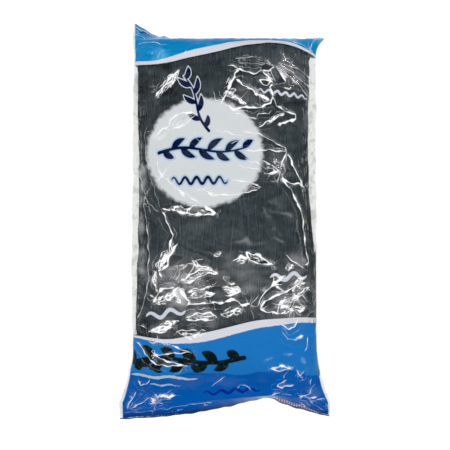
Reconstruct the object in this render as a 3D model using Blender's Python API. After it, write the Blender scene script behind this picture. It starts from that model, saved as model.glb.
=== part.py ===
"""A clear sealed pillow bag of dried wakame, lying on its back, as one closed solid.

Metres, +Z up. X runs across the bag, +Y towards its top end, and the printed front faces +Z.
The origin is the middle of the bag's footprint, at the level of the surface that it lies on.

The film is a flat tube, sealed along both ends. Packed, it is a slab with rounded flanks that ends
in two seals, or fins. The top fin is folded down against the end of the slab, apart from the left
corner, which stands out as a dog ear. The bottom fin lies out at both corners and hangs down
between them, most steeply right of the middle. Pleats run up from it, and each flank has a long
crease where the film has been pushed in.

A point of the film has two flat coordinates: s runs across, from -1 at the left edge crease to 1 at
the right one, and q runs along each of the five stretches that follow each other from the bottom
edge to the top edge.
"""

import math

import bmesh
import bpy
import numpy as np
from mathutils import Vector

# Driving dimensions
SLAB_HALF_WIDTH = 0.1345
SLAB_THICKNESS = 0.063
CREASE_HEIGHT = 0.027  # of the edge creases above the ground, halfway up the flanks
FLAT_HALF_WIDTH = 0.155  # of the empty tube, which the bottom seal keeps
SLAB_BOTTOM = -0.190  # where the film starts to fall towards the bottom fin
SLAB_TOP = 0.243  # where it starts to turn over the top end
FIN_LENGTH = 0.026
FIN_THICKNESS = 0.0012
BOTTOM_FIN_ROOT = -0.270
TOP_FIN_ROOT = 0.268
TOP_HALF_WIDTH = 0.142
TOP_SHIFT = 0.0065  # the top end lies this far to the right

# Shape of the cross-section
FRONT_SQUARENESS = 3.4  # exponent of the front's crown: higher is flatter
FRONT_FALL = 0.62
BACK_SQUARENESS = 5.0
BACK_FALL = 0.8
BACK_PRESS = 0.0025  # the back is pressed flat where it would bulge this much lower
CROWN_LOSS = 0.007  # the slab is this much thinner at its top end than in the middle

# The fins: a fin's reach is the cosine of its angle below level. The top fin's is given as (s, reach)
TOP_ROOT_HEIGHT = 0.028
TOP_REACH = ((-0.97, 0.97), (-0.74, 0.33), (-0.69, 0.45), (-0.62, 0.28), (0.88, 0.28), (1.0, 0.34))
BOTTOM_ROOT_HEIGHT = 0.008
CORNER_REACH = 0.985
NOTCH_REACH = 0.20
NOTCH_AT = 0.50  # the s at which the bottom fin hangs steepest
NOTCH_SPREAD_LEFT, NOTCH_SPREAD_RIGHT = 0.83, 0.38
NOTCH_POWER = 1.4  # lower is sharper
NOTCH_RISE = 0.0215  # the fin's root stands this much higher there
NOTCH_PULL = 0.016  # and this much further in

# Folds of the film. Pleats: s at the bottom fin, s at the slab, height, half-width in s
PLEATS = (
    (-0.66, -0.80, 0.0042, 0.09),
    (-0.24, -0.33, 0.0030, 0.08),
    (0.10, 0.00, 0.0034, 0.08),
    (0.46, 0.34, 0.0040, 0.09),
    (0.74, 0.86, 0.0045, 0.09),
)
CREASE_DEPTH, CREASE_SPREAD = 0.0028, 0.0065
LEFT_CREASE = ((-0.121, 0.033), (-0.113, -0.027), (-0.113, -0.086), (-0.119, -0.116))  # (x, y)
RIGHT_CREASE = ((0.086, 0.063), (0.103, 0.045), (0.110, 0.028), (0.115, 0.003), (0.121, -0.054))

# Grid of the solid: cells across, and along the five stretches
CELLS_ACROSS = 42
CELLS_ALONG = (3, 11, 28, 7, 3)

FILM_COLOUR = (0.035, 0.045, 0.048, 1.0)


def smooth(value):
    """0 to 1 with level ends, for a value from 0 to 1."""
    value = np.clip(value, 0.0, 1.0)
    return value * value * (3.0 - 2.0 * value)


def bell(value):
    return np.exp(-value * value)


def crown(x):
    """Height of the front between the edge creases, as a share, at x from -1 to 1."""
    return np.maximum(1.0 - np.abs(x) ** FRONT_SQUARENESS, 0.0) ** FRONT_FALL


def belly(x):
    """Depth of the back below the edge creases, as a share, at x from -1 to 1."""
    return np.maximum(1.0 - np.abs(x) ** BACK_SQUARENESS, 0.0) ** BACK_FALL


def wrap_map():
    """Tables of s and of x from 0 to 1: equal steps of s are equal lengths of film over the front."""
    x = np.linspace(0.0, 1.0, 2001)
    rise = (SLAB_THICKNESS - CREASE_HEIGHT) * crown(x)
    steps = np.hypot(np.diff(x) * SLAB_HALF_WIDTH, np.diff(rise))
    length = np.concatenate([[0.0], np.cumsum(steps)])
    return length / length[-1], x


WRAP_S, WRAP_X = wrap_map()


def across(s, flatness):
    """x from -1 to 1: wrapped round the slab at flatness 0, and evenly spread in a flat fin at 1."""
    wrapped = np.sign(s) * np.interp(np.abs(s), WRAP_S, WRAP_X)
    return wrapped + (s - wrapped) * flatness


def from_line(x, y, line):
    """Distance of the points (x, y) from a line through a row of (x, y) points."""
    nearest = np.full(np.shape(x), np.inf)
    for (x0, y0), (x1, y1) in zip(line, line[1:]):
        along = ((x - x0) * (x1 - x0) + (y - y0) * (y1 - y0)) / ((x1 - x0) ** 2 + (y1 - y0) ** 2)
        along = np.clip(along, 0.0, 1.0)
        nearest = np.minimum(nearest, np.hypot(x - x0 - along * (x1 - x0), y - y0 - along * (y1 - y0)))
    return nearest


def lumps(x, y):
    """Broad, low swellings of the front over the contents, less the two long creases."""
    waves = 0.9 * np.sin(21.0 * x + 13.0 * y + 0.6) * np.sin(17.0 * y - 9.0 * x + 1.1)
    waves += 0.6 * np.sin(44.0 * x - 9.0 * y) * np.cos(31.0 * y + 12.0 * x + 0.4)
    creases = bell(from_line(x, y, LEFT_CREASE) / CREASE_SPREAD)
    creases = creases + bell(from_line(x, y, RIGHT_CREASE) / CREASE_SPREAD)
    return 0.0016 * waves - CREASE_DEPTH * creases


def pleats(s, q):
    """Height of the pleats on the front of the bottom shoulder."""
    height = np.zeros(np.shape(s))
    for at_fin, at_slab, peak, spread in PLEATS:
        height = height + peak * bell((s - at_fin - (at_slab - at_fin) * q) / spread)
    return height * np.sin(math.pi * q) ** 0.8


def notch(s):
    """1 where the bottom fin hangs steepest, falling to 0 towards both corners."""
    spread = np.where(s < NOTCH_AT, NOTCH_SPREAD_LEFT, NOTCH_SPREAD_RIGHT)
    return np.exp(-(np.abs((s - NOTCH_AT) / spread) ** NOTCH_POWER))


def bottom_root(s):
    """(y, height) of the bottom fin's root across the bag."""
    return BOTTOM_FIN_ROOT + NOTCH_PULL * notch(s), BOTTOM_ROOT_HEIGHT + NOTCH_RISE * notch(s)


def bottom_fold(s):
    """How far below level the bottom fin points across the bag."""
    low, high = math.acos(CORNER_REACH), math.acos(NOTCH_REACH)
    return low + (high - low) * notch(s)


def top_fold(s):
    """How far below level the top fin points across the bag."""
    return np.arccos(np.interp(s, *zip(*TOP_REACH)))


def fin_point(q, front, root, fold, outwards):
    """(y, z) of a fin that leaves its root at fold below level, along +Y or -Y."""
    way = np.stack([np.cos(fold) * outwards, -np.sin(fold)])
    face = np.stack([np.sin(fold) * outwards, np.cos(fold)])
    side = 0.5 * FIN_THICKNESS * (1.0 if front else -1.0)
    return np.stack(root) + way * q * FIN_LENGTH + face * side


def bottom_fin(s, q, front):
    """q runs from the bottom edge, 0, to the root, 1."""
    y, z = fin_point(1.0 - q, front, bottom_root(s), bottom_fold(s), -1.0)
    return across(s, 1.0) * FLAT_HALF_WIDTH, y, z


def bottom_shoulder(s, q, front):
    """From the bottom fin's root, 0, up to the slab, 1."""
    root_y, root_z = bottom_root(s)
    flatness = 1.0 - smooth(q)
    half_width = SLAB_HALF_WIDTH + (FLAT_HALF_WIDTH - SLAB_HALF_WIDTH) * (1.0 - q) ** 1.5
    x_share = across(s, flatness)
    y = root_y + (SLAB_BOTTOM - root_y) * q
    crease = root_z + (CREASE_HEIGHT - root_z) * smooth(q)
    x = x_share * half_width
    gap = 0.5 * FIN_THICKNESS
    if front:
        climb = 0.5 - 0.5 * np.cos(math.pi * q**0.92)
        rise = (SLAB_THICKNESS - CREASE_HEIGHT + lumps(x, y)) * climb * crown(x_share)
        # Next to the fin the film still follows it, and lifts off it a little further in
        lift = (crease - root_z) * 0.9 * (1.0 - smooth(q)) * crown(x_share)
        return x, y, crease + gap + rise + lift + pleats(s, q)
    sink = smooth(q * 1.5)
    depth = (crease + BACK_PRESS) * belly(x_share) * sink
    return x, y, np.maximum(crease - gap - depth, 0.0)


def slab(s, q, front):
    """The packed stretch, from its bottom end, 0, to its top end, 1."""
    x_share = across(s, 0.0)
    x = x_share * SLAB_HALF_WIDTH
    y = SLAB_BOTTOM + (SLAB_TOP - SLAB_BOTTOM) * q + np.zeros_like(s)
    gap = 0.5 * FIN_THICKNESS
    if front:
        top = SLAB_THICKNESS - CROWN_LOSS * smooth(q * 1.6 - 0.6) + lumps(x, y)
        return x, y, CREASE_HEIGHT + gap + (top - CREASE_HEIGHT) * crown(x_share)
    depth = (CREASE_HEIGHT + BACK_PRESS) * belly(x_share)
    return x, y, np.maximum(CREASE_HEIGHT - gap - depth, 0.0)


def top_shoulder(s, q, front):
    """Over the top end of the slab, 0, round to the top fin's root, 1."""
    turn = 0.5 * math.pi * q
    half_width = SLAB_HALF_WIDTH + (TOP_HALF_WIDTH - SLAB_HALF_WIDTH) * smooth(q)
    x_share = across(s, smooth(q))
    x = x_share * half_width + TOP_SHIFT * smooth(q)
    y = SLAB_TOP + (TOP_FIN_ROOT - SLAB_TOP) * np.sin(turn) + np.zeros_like(s)
    crease = CREASE_HEIGHT + (TOP_ROOT_HEIGHT - CREASE_HEIGHT) * q
    # Each sheet turns to the side of the fin that it belongs to
    gap = 0.5 * FIN_THICKNESS
    fold = top_fold(s)
    out, up = gap * np.sin(fold) * q, gap * (1.0 - (1.0 - np.cos(fold)) * q)
    if front:
        top = SLAB_THICKNESS - CROWN_LOSS + lumps(x, y)
        return x, y + out, crease + up + (top - crease) * np.cos(turn) * crown(x_share)
    depth = (crease + BACK_PRESS) * np.cos(turn) * belly(x_share)
    return x, y - out, np.maximum(crease - up - depth, 0.0)


def top_fin(s, q, front):
    """q runs from the root, 0, to the top edge, 1."""
    root = (TOP_FIN_ROOT + np.zeros_like(s), TOP_ROOT_HEIGHT + np.zeros_like(s))
    y, z = fin_point(q, front, root, top_fold(s), 1.0)
    return across(s, 1.0) * TOP_HALF_WIDTH + TOP_SHIFT, y, z


STRETCHES = (bottom_fin, bottom_shoulder, slab, top_shoulder, top_fin)


def row_stretch(row):
    """The stretch that a row of grid points belongs to, and its q."""
    for stretch, cells in zip(STRETCHES, CELLS_ALONG):
        if row <= cells:
            return stretch, row / cells
        row -= cells
    raise ValueError("the row is past the top edge")


def bag_material():
    material = bpy.data.materials.new("film over wakame")
    material.use_nodes = True
    surface = material.node_tree.nodes["Principled BSDF"]
    surface.inputs["Base Color"].default_value = FILM_COLOUR
    surface.inputs["Roughness"].default_value = 0.18
    surface.inputs["Metallic"].default_value = 0.0
    return material


def make_bag(collection):
    """A grid pulled into two sheets, front and back, which are then moved to the bag's shape."""
    rows = sum(CELLS_ALONG)
    cage = bmesh.new()
    bmesh.ops.create_grid(cage, x_segments=CELLS_ACROSS, y_segments=rows, size=1.0)
    pulled = bmesh.ops.extrude_face_region(cage, geom=cage.faces[:])["geom"]
    front_points = {item for item in pulled if isinstance(item, bmesh.types.BMVert)}
    for point in cage.verts:
        row = round((point.co.y + 1.0) / 2.0 * rows)
        stretch, q = row_stretch(row)
        s = np.array([point.co.x])
        place = stretch(s, q, point in front_points)
        point.co = [float(np.atleast_1d(value)[0]) for value in place]
    bmesh.ops.recalc_face_normals(cage, faces=cage.faces[:])
    mesh = bpy.data.meshes.new("wakame_bag")
    cage.to_mesh(mesh)
    cage.free()
    mesh.shade_smooth()
    mesh.set_sharp_from_angle(angle=math.radians(50))
    mesh.materials.append(bag_material())
    bag = bpy.data.objects.new("wakame_bag", mesh)
    collection.objects.link(bag)
    return bag


def centre_on_origin(bag):
    """Moves the footprint's middle to the origin and the lowest face to the ground, in the mesh."""
    points = np.array([point.co for point in bag.data.vertices])
    low, high = points.min(axis=0), points.max(axis=0)
    shift = Vector(((low[0] + high[0]) / 2, (low[1] + high[1]) / 2, low[2]))
    for point in bag.data.vertices:
        point.co -= shift


def main():
    for old in list(bpy.data.objects):
        bpy.data.objects.remove(old)
    collection = bpy.data.collections.new("Dried wakame bag")
    bpy.context.scene.collection.children.link(collection)
    centre_on_origin(make_bag(collection))


main()
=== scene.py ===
"""Looks of a clear sealed bag of dried wakame on its back: creased, printed film over dark strands.

Metres, +Z up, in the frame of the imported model: X runs across the bag, +Y towards its top end, and the
printed front faces +Z. A point of the film is also known by its place on the flat sheet: u across from
the middle, and v along from the middle.
"""

import math

import bpy
import numpy as np
from mathutils import Matrix, Vector


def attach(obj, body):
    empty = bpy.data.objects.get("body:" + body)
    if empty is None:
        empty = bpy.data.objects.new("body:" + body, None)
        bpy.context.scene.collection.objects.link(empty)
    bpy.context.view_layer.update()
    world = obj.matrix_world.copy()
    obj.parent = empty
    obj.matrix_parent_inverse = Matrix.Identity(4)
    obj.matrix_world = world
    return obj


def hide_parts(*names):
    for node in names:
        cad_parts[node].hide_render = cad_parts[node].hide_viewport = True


bl_info = {
    "name": "Bag of dried wakame",
    "version": (1, 0, 0),
    "blender": (4, 5, 0),
    "location": "View3D > Sidebar > Wakame bag",
    "description": "Builds the film, the print and the packed seaweed of a clear sealed bag",
    "category": "Add Mesh",
}

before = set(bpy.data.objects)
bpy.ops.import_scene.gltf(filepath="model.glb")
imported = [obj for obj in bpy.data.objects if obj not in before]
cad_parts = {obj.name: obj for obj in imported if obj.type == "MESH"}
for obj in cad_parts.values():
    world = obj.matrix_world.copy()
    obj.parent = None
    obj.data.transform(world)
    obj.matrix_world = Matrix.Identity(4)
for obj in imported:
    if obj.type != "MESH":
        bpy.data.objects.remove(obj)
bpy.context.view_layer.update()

MM = 0.001

# ---------------------------------------------------------------------------------------------
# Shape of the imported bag, as the solid model has it
# ---------------------------------------------------------------------------------------------

SLAB_HALF_WIDTH = 0.1345
SLAB_THICKNESS = 0.063
CREASE_HEIGHT = 0.027  # of the edge creases above the ground, halfway up the flanks
FLAT_HALF_WIDTH = 0.155  # of the empty tube, which the bottom seal keeps
SLAB_BOTTOM = -0.190  # where the film starts to fall towards the bottom fin
SLAB_TOP = 0.243  # where it starts to turn over the top end
FIN_LENGTH = 0.026
BOTTOM_FIN_ROOT = -0.270
TOP_FIN_ROOT = 0.268
TOP_HALF_WIDTH = 0.142
TOP_SHIFT = 0.0065  # the top end lies this far to the right
PLY_GAP = 0.0003  # between the two sheets of a fin

FRONT_SQUARENESS = 3.4  # exponent of the front's crown: higher is flatter
FRONT_FALL = 0.62
BACK_SQUARENESS = 5.0
BACK_FALL = 0.8
BACK_PRESS = 0.0025  # the back is pressed flat where it would bulge this much lower
CROWN_LOSS = 0.007  # the slab is this much thinner at its top end than in the middle
CROWN_LOSS_RATE, CROWN_LOSS_DELAY = 1.6, 0.6
WIDENING_POWER = 1.5  # of the bottom shoulder's width towards its fin
CLIMB_POWER = 0.92  # under 1, the front climbs sooner up the bottom shoulder
SHOULDER_LIFT = 0.9  # of the shoulder's middle near the fin, against the rise of its edge crease
BACK_SINK_RATE = 1.5
SWELL_HEIGHT = 0.0016  # of the broad swellings over the contents
WRAP_SAMPLES = 2001

# A fin's reach is the cosine of its angle below level; the top fin's is given as (s, reach)
TOP_ROOT_HEIGHT = 0.028
TOP_REACH = ((-0.97, 0.97), (-0.74, 0.33), (-0.69, 0.45), (-0.62, 0.28), (0.88, 0.28), (1.0, 0.34))
BOTTOM_ROOT_HEIGHT = 0.008
CORNER_REACH = 0.985
NOTCH_REACH = 0.20
NOTCH_AT = 0.50
NOTCH_SPREAD_LEFT, NOTCH_SPREAD_RIGHT = 0.83, 0.38
NOTCH_POWER = 1.4  # lower is sharper
NOTCH_RISE = 0.0215
NOTCH_PULL = 0.016

# Pleats of the bottom shoulder: (s at the fin, s at the slab, height, spread)
PLEATS = (
    (-0.66, -0.80, 0.0042, 0.09),
    (-0.24, -0.33, 0.0030, 0.08),
    (0.10, 0.00, 0.0034, 0.08),
    (0.46, 0.34, 0.0040, 0.09),
    (0.74, 0.86, 0.0045, 0.09),
)
PLEAT_POWER = 0.8  # under 1, a pleat keeps its height for longer
CREASE_DEPTH, CREASE_SPREAD = 0.0028, 0.0065
LEFT_CREASE = ((-0.121, 0.033), (-0.113, -0.027), (-0.113, -0.086), (-0.119, -0.116))
RIGHT_CREASE = ((0.086, 0.063), (0.103, 0.045), (0.110, 0.028), (0.115, 0.003), (0.121, -0.054))


def smooth(value):
    """0 to 1 with level ends, for a value from 0 to 1."""
    value = np.clip(value, 0.0, 1.0)
    return value * value * (3.0 - 2.0 * value)


def bell(value):
    return np.exp(-value * value)


def crown(x):
    """Height of the front between the edge creases, as a share, at x from -1 to 1."""
    return np.maximum(1.0 - np.abs(x) ** FRONT_SQUARENESS, 0.0) ** FRONT_FALL


def belly(x):
    """Depth of the back below the edge creases, as a share, at x from -1 to 1."""
    return np.maximum(1.0 - np.abs(x) ** BACK_SQUARENESS, 0.0) ** BACK_FALL


def wrap_map():
    """Tables of s and x from 0 to 1, where equal steps of s are equal lengths of film over the front."""
    x = np.linspace(0.0, 1.0, WRAP_SAMPLES)
    rise = (SLAB_THICKNESS - CREASE_HEIGHT) * crown(x)
    steps = np.hypot(np.diff(x) * SLAB_HALF_WIDTH, np.diff(rise))
    length = np.concatenate([[0.0], np.cumsum(steps)])
    return length / length[-1], x


WRAP_S, WRAP_X = wrap_map()


def across(s, flatness):
    """x from -1 to 1: wrapped round the slab at flatness 0, and evenly spread in a flat fin at 1."""
    wrapped = np.sign(s) * np.interp(np.abs(s), WRAP_S, WRAP_X)
    return wrapped + (s - wrapped) * flatness


def from_line(x, y, line):
    """Distance of the points (x, y) from a line through a row of (x, y) points."""
    nearest = np.full(np.shape(x), np.inf)
    for (x0, y0), (x1, y1) in zip(line, line[1:]):
        along = ((x - x0) * (x1 - x0) + (y - y0) * (y1 - y0)) / ((x1 - x0) ** 2 + (y1 - y0) ** 2)
        along = np.clip(along, 0.0, 1.0)
        nearest = np.minimum(nearest, np.hypot(x - x0 - along * (x1 - x0), y - y0 - along * (y1 - y0)))
    return nearest


def lumps(x, y):
    """Broad, low swellings of the front over the contents, less the two long creases."""
    waves = 0.9 * np.sin(21.0 * x + 13.0 * y + 0.6) * np.sin(17.0 * y - 9.0 * x + 1.1)
    waves += 0.6 * np.sin(44.0 * x - 9.0 * y) * np.cos(31.0 * y + 12.0 * x + 0.4)
    creases = bell(from_line(x, y, LEFT_CREASE) / CREASE_SPREAD)
    creases = creases + bell(from_line(x, y, RIGHT_CREASE) / CREASE_SPREAD)
    return SWELL_HEIGHT * waves - CREASE_DEPTH * creases


def pleats(s, q):
    """Height of the pleats on the front of the bottom shoulder."""
    height = np.zeros(np.shape(s))
    for at_fin, at_slab, peak, spread in PLEATS:
        height = height + peak * bell((s - at_fin - (at_slab - at_fin) * q) / spread)
    return height * np.sin(math.pi * q) ** PLEAT_POWER


def notch(s):
    """1 where the bottom fin hangs steepest, falling to 0 towards both corners."""
    spread = np.where(s < NOTCH_AT, NOTCH_SPREAD_LEFT, NOTCH_SPREAD_RIGHT)
    return np.exp(-(np.abs((s - NOTCH_AT) / spread) ** NOTCH_POWER))


def bottom_root(s):
    """(y, height) of the bottom fin's root across the bag."""
    return BOTTOM_FIN_ROOT + NOTCH_PULL * notch(s), BOTTOM_ROOT_HEIGHT + NOTCH_RISE * notch(s)


def bottom_fold(s):
    """How far below level the bottom fin points across the bag."""
    low, high = math.acos(CORNER_REACH), math.acos(NOTCH_REACH)
    return low + (high - low) * notch(s)


def top_fold(s):
    """How far below level the top fin points across the bag."""
    return np.arccos(np.interp(s, *zip(*TOP_REACH)))


def fin_point(q, front, root, fold, outwards):
    """(y, z) of a fin that leaves its root at fold below level, along +Y or -Y."""
    way = np.stack([np.cos(fold) * outwards, -np.sin(fold)])
    face = np.stack([np.sin(fold) * outwards, np.cos(fold)])
    side = 0.5 * PLY_GAP * (1.0 if front else -1.0)
    return np.stack(root) + way * q * FIN_LENGTH + face * side


def bottom_fin(s, q, front):
    """q runs from the bottom edge, 0, to the root, 1."""
    y, z = fin_point(1.0 - q, front, bottom_root(s), bottom_fold(s), -1.0)
    return across(s, 1.0) * FLAT_HALF_WIDTH, y, z


def bottom_shoulder(s, q, front):
    """From the bottom fin's root, 0, up to the slab, 1."""
    root_y, root_z = bottom_root(s)
    flatness = 1.0 - smooth(q)
    half_width = SLAB_HALF_WIDTH + (FLAT_HALF_WIDTH - SLAB_HALF_WIDTH) * (1.0 - q) ** WIDENING_POWER
    x_share = across(s, flatness)
    y = root_y + (SLAB_BOTTOM - root_y) * q
    crease = root_z + (CREASE_HEIGHT - root_z) * smooth(q)
    x = x_share * half_width
    gap = 0.5 * PLY_GAP
    if front:
        climb = 0.5 - 0.5 * np.cos(math.pi * q**CLIMB_POWER)
        rise = (SLAB_THICKNESS - CREASE_HEIGHT + lumps(x, y)) * climb * crown(x_share)
        lift = (crease - root_z) * SHOULDER_LIFT * (1.0 - smooth(q)) * crown(x_share)
        return x, y, crease + gap + rise + lift + pleats(s, q)
    sink = smooth(q * BACK_SINK_RATE)
    depth = (crease + BACK_PRESS) * belly(x_share) * sink
    return x, y, np.maximum(crease - gap - depth, 0.0)


def slab(s, q, front):
    """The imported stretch, from its bottom end, 0, to its top end, 1."""
    x_share = across(s, 0.0)
    x = x_share * SLAB_HALF_WIDTH
    y = SLAB_BOTTOM + (SLAB_TOP - SLAB_BOTTOM) * q + np.zeros_like(s)
    gap = 0.5 * PLY_GAP
    if front:
        loss = CROWN_LOSS * smooth(q * CROWN_LOSS_RATE - CROWN_LOSS_DELAY)
        top = SLAB_THICKNESS - loss + lumps(x, y)
        return x, y, CREASE_HEIGHT + gap + (top - CREASE_HEIGHT) * crown(x_share)
    depth = (CREASE_HEIGHT + BACK_PRESS) * belly(x_share)
    return x, y, np.maximum(CREASE_HEIGHT - gap - depth, 0.0)


def top_shoulder(s, q, front):
    """Over the top end of the slab, 0, round to the top fin's root, 1."""
    turn = 0.5 * math.pi * q
    half_width = SLAB_HALF_WIDTH + (TOP_HALF_WIDTH - SLAB_HALF_WIDTH) * smooth(q)
    x_share = across(s, smooth(q))
    x = x_share * half_width + TOP_SHIFT * smooth(q)
    y = SLAB_TOP + (TOP_FIN_ROOT - SLAB_TOP) * np.sin(turn) + np.zeros_like(s)
    crease = CREASE_HEIGHT + (TOP_ROOT_HEIGHT - CREASE_HEIGHT) * q
    gap = 0.5 * PLY_GAP
    fold = top_fold(s)
    out, up = gap * np.sin(fold) * q, gap * (1.0 - (1.0 - np.cos(fold)) * q)
    if front:
        top = SLAB_THICKNESS - CROWN_LOSS + lumps(x, y)
        return x, y + out, crease + up + (top - crease) * np.cos(turn) * crown(x_share)
    depth = (crease + BACK_PRESS) * np.cos(turn) * belly(x_share)
    return x, y - out, np.maximum(crease - up - depth, 0.0)


def top_fin(s, q, front):
    """q runs from the root, 0, to the top edge, 1."""
    root = (TOP_FIN_ROOT + np.zeros_like(s), TOP_ROOT_HEIGHT + np.zeros_like(s))
    y, z = fin_point(q, front, root, top_fold(s), 1.0)
    return across(s, 1.0) * TOP_HALF_WIDTH + TOP_SHIFT, y, z


# ---------------------------------------------------------------------------------------------
# The film's grid
# ---------------------------------------------------------------------------------------------

FRONT_COLUMNS = 176
BACK_COLUMNS = 88  # half as many, so that every second front column meets one of the back's
ROW_PITCH = 1.75 * MM
FIN_ROW_PITCH = 2.6 * MM
FEWEST_CELLS = 4  # along a stretch
LENGTH_SAMPLES = 60
STRETCHES = (
    (bottom_fin, FIN_ROW_PITCH),
    (bottom_shoulder, ROW_PITCH),
    (slab, ROW_PITCH),
    (top_shoulder, ROW_PITCH),
    (top_fin, FIN_ROW_PITCH),
)


def points_at(stretch, q, s, front):
    return np.stack(np.broadcast_arrays(*stretch(s, q, front)), axis=-1)


def film_rows():
    """(stretch, q) of every row of the grid, from the bottom edge to the top edge."""
    middle = np.array([0.0])
    rows = []
    for stretch, pitch in STRETCHES:
        shares = np.linspace(0.0, 1.0, LENGTH_SAMPLES)
        line = np.concatenate([points_at(stretch, q, middle, True) for q in shares])
        length = np.linalg.norm(np.diff(line, axis=0), axis=1).sum()
        cells = max(round(length / pitch), FEWEST_CELLS)
        rows += [(stretch, cell / cells) for cell in range(cells)]
    return rows + [(top_fin, 1.0)]


ROWS = film_rows()
FRONT_S = np.linspace(-1.0, 1.0, FRONT_COLUMNS + 1)
BACK_S = np.linspace(-1.0, 1.0, BACK_COLUMNS + 1)


def sheet_grid(s, front):
    return np.stack([points_at(stretch, q, s, front) for stretch, q in ROWS])


def row_places(front_points):
    """v of every row: the way along the sheet's middle, counted from the row at y = 0."""
    middle = front_points[:, len(FRONT_S) // 2]
    steps = np.linalg.norm(np.diff(middle, axis=0), axis=1)
    places = np.concatenate([[0.0], np.cumsum(steps)])
    return places - np.interp(0.0, middle[:, 1], places)


def rows_of(*stretches):
    """1 for the rows of the named stretches, else 0."""
    return np.array([1.0 if stretch in stretches else 0.0 for stretch, q in ROWS])


FRONT_BASE = sheet_grid(FRONT_S, True)
BACK_BASE = sheet_grid(BACK_S, False)
ROW_V = row_places(FRONT_BASE)
FRONT_U = FRONT_S * FLAT_HALF_WIDTH
BACK_U = BACK_S * FLAT_HALF_WIDTH

# ---------------------------------------------------------------------------------------------
# The camera, and places seen through it
# ---------------------------------------------------------------------------------------------

PICTURE_SIZE = 450  # pixels each way
FOCAL_PIXELS = 889
SENSOR_WIDTH = 36.0  # millimetres
CAMERA_AIM = Vector((0.0005, -0.007, 0.030))
CAMERA_DISTANCE = 1.3
CAMERA_TILT = math.radians(2.5)  # from straight down, towards the bottom of the bag
CAMERA_PLACE = CAMERA_AIM + CAMERA_DISTANCE * Vector((0.0, -math.sin(CAMERA_TILT), math.cos(CAMERA_TILT)))


def pixels_of(points):
    """Where the camera sees the points, in pixels from the picture's top left corner."""
    away = points - np.array(CAMERA_PLACE)
    ahead = np.array([0.0, math.sin(CAMERA_TILT), -math.cos(CAMERA_TILT)])
    up = np.array([0.0, math.cos(CAMERA_TILT), math.sin(CAMERA_TILT)])
    depth = away @ ahead
    middle = 0.5 * PICTURE_SIZE
    x = middle + away[..., 0] / depth * FOCAL_PIXELS
    y = middle - (away @ up) / depth * FOCAL_PIXELS
    return np.stack([x, y], axis=-1)


FRONT_PIXELS = pixels_of(FRONT_BASE)


def on_sheet(pixel):
    """(u, v) in millimetres of the place on the film's front that is seen at a pixel."""
    offsets = FRONT_PIXELS - np.array(pixel, dtype=float)
    row, column = np.unravel_index(np.argmin((offsets**2).sum(axis=-1)), offsets.shape[:2])
    row = min(max(row, 1), len(ROW_V) - 2)
    column = min(max(column, 1), FRONT_COLUMNS - 1)
    span_u = FRONT_U[column + 1] - FRONT_U[column - 1]
    span_v = ROW_V[row + 1] - ROW_V[row - 1]
    per_u = (FRONT_PIXELS[row, column + 1] - FRONT_PIXELS[row, column - 1]) / span_u
    per_v = (FRONT_PIXELS[row + 1, column] - FRONT_PIXELS[row - 1, column]) / span_v
    turn = np.stack([per_u, per_v], axis=-1)
    step = np.clip(np.linalg.pinv(turn) @ -offsets[row, column], -2 * ROW_PITCH, 2 * ROW_PITCH)
    return (FRONT_U[column] + step[0]) / MM, (ROW_V[row] + step[1]) / MM


# ---------------------------------------------------------------------------------------------
# Folds and puckers of the film, at the pixels of the picture where they are seen
# ---------------------------------------------------------------------------------------------

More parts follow.
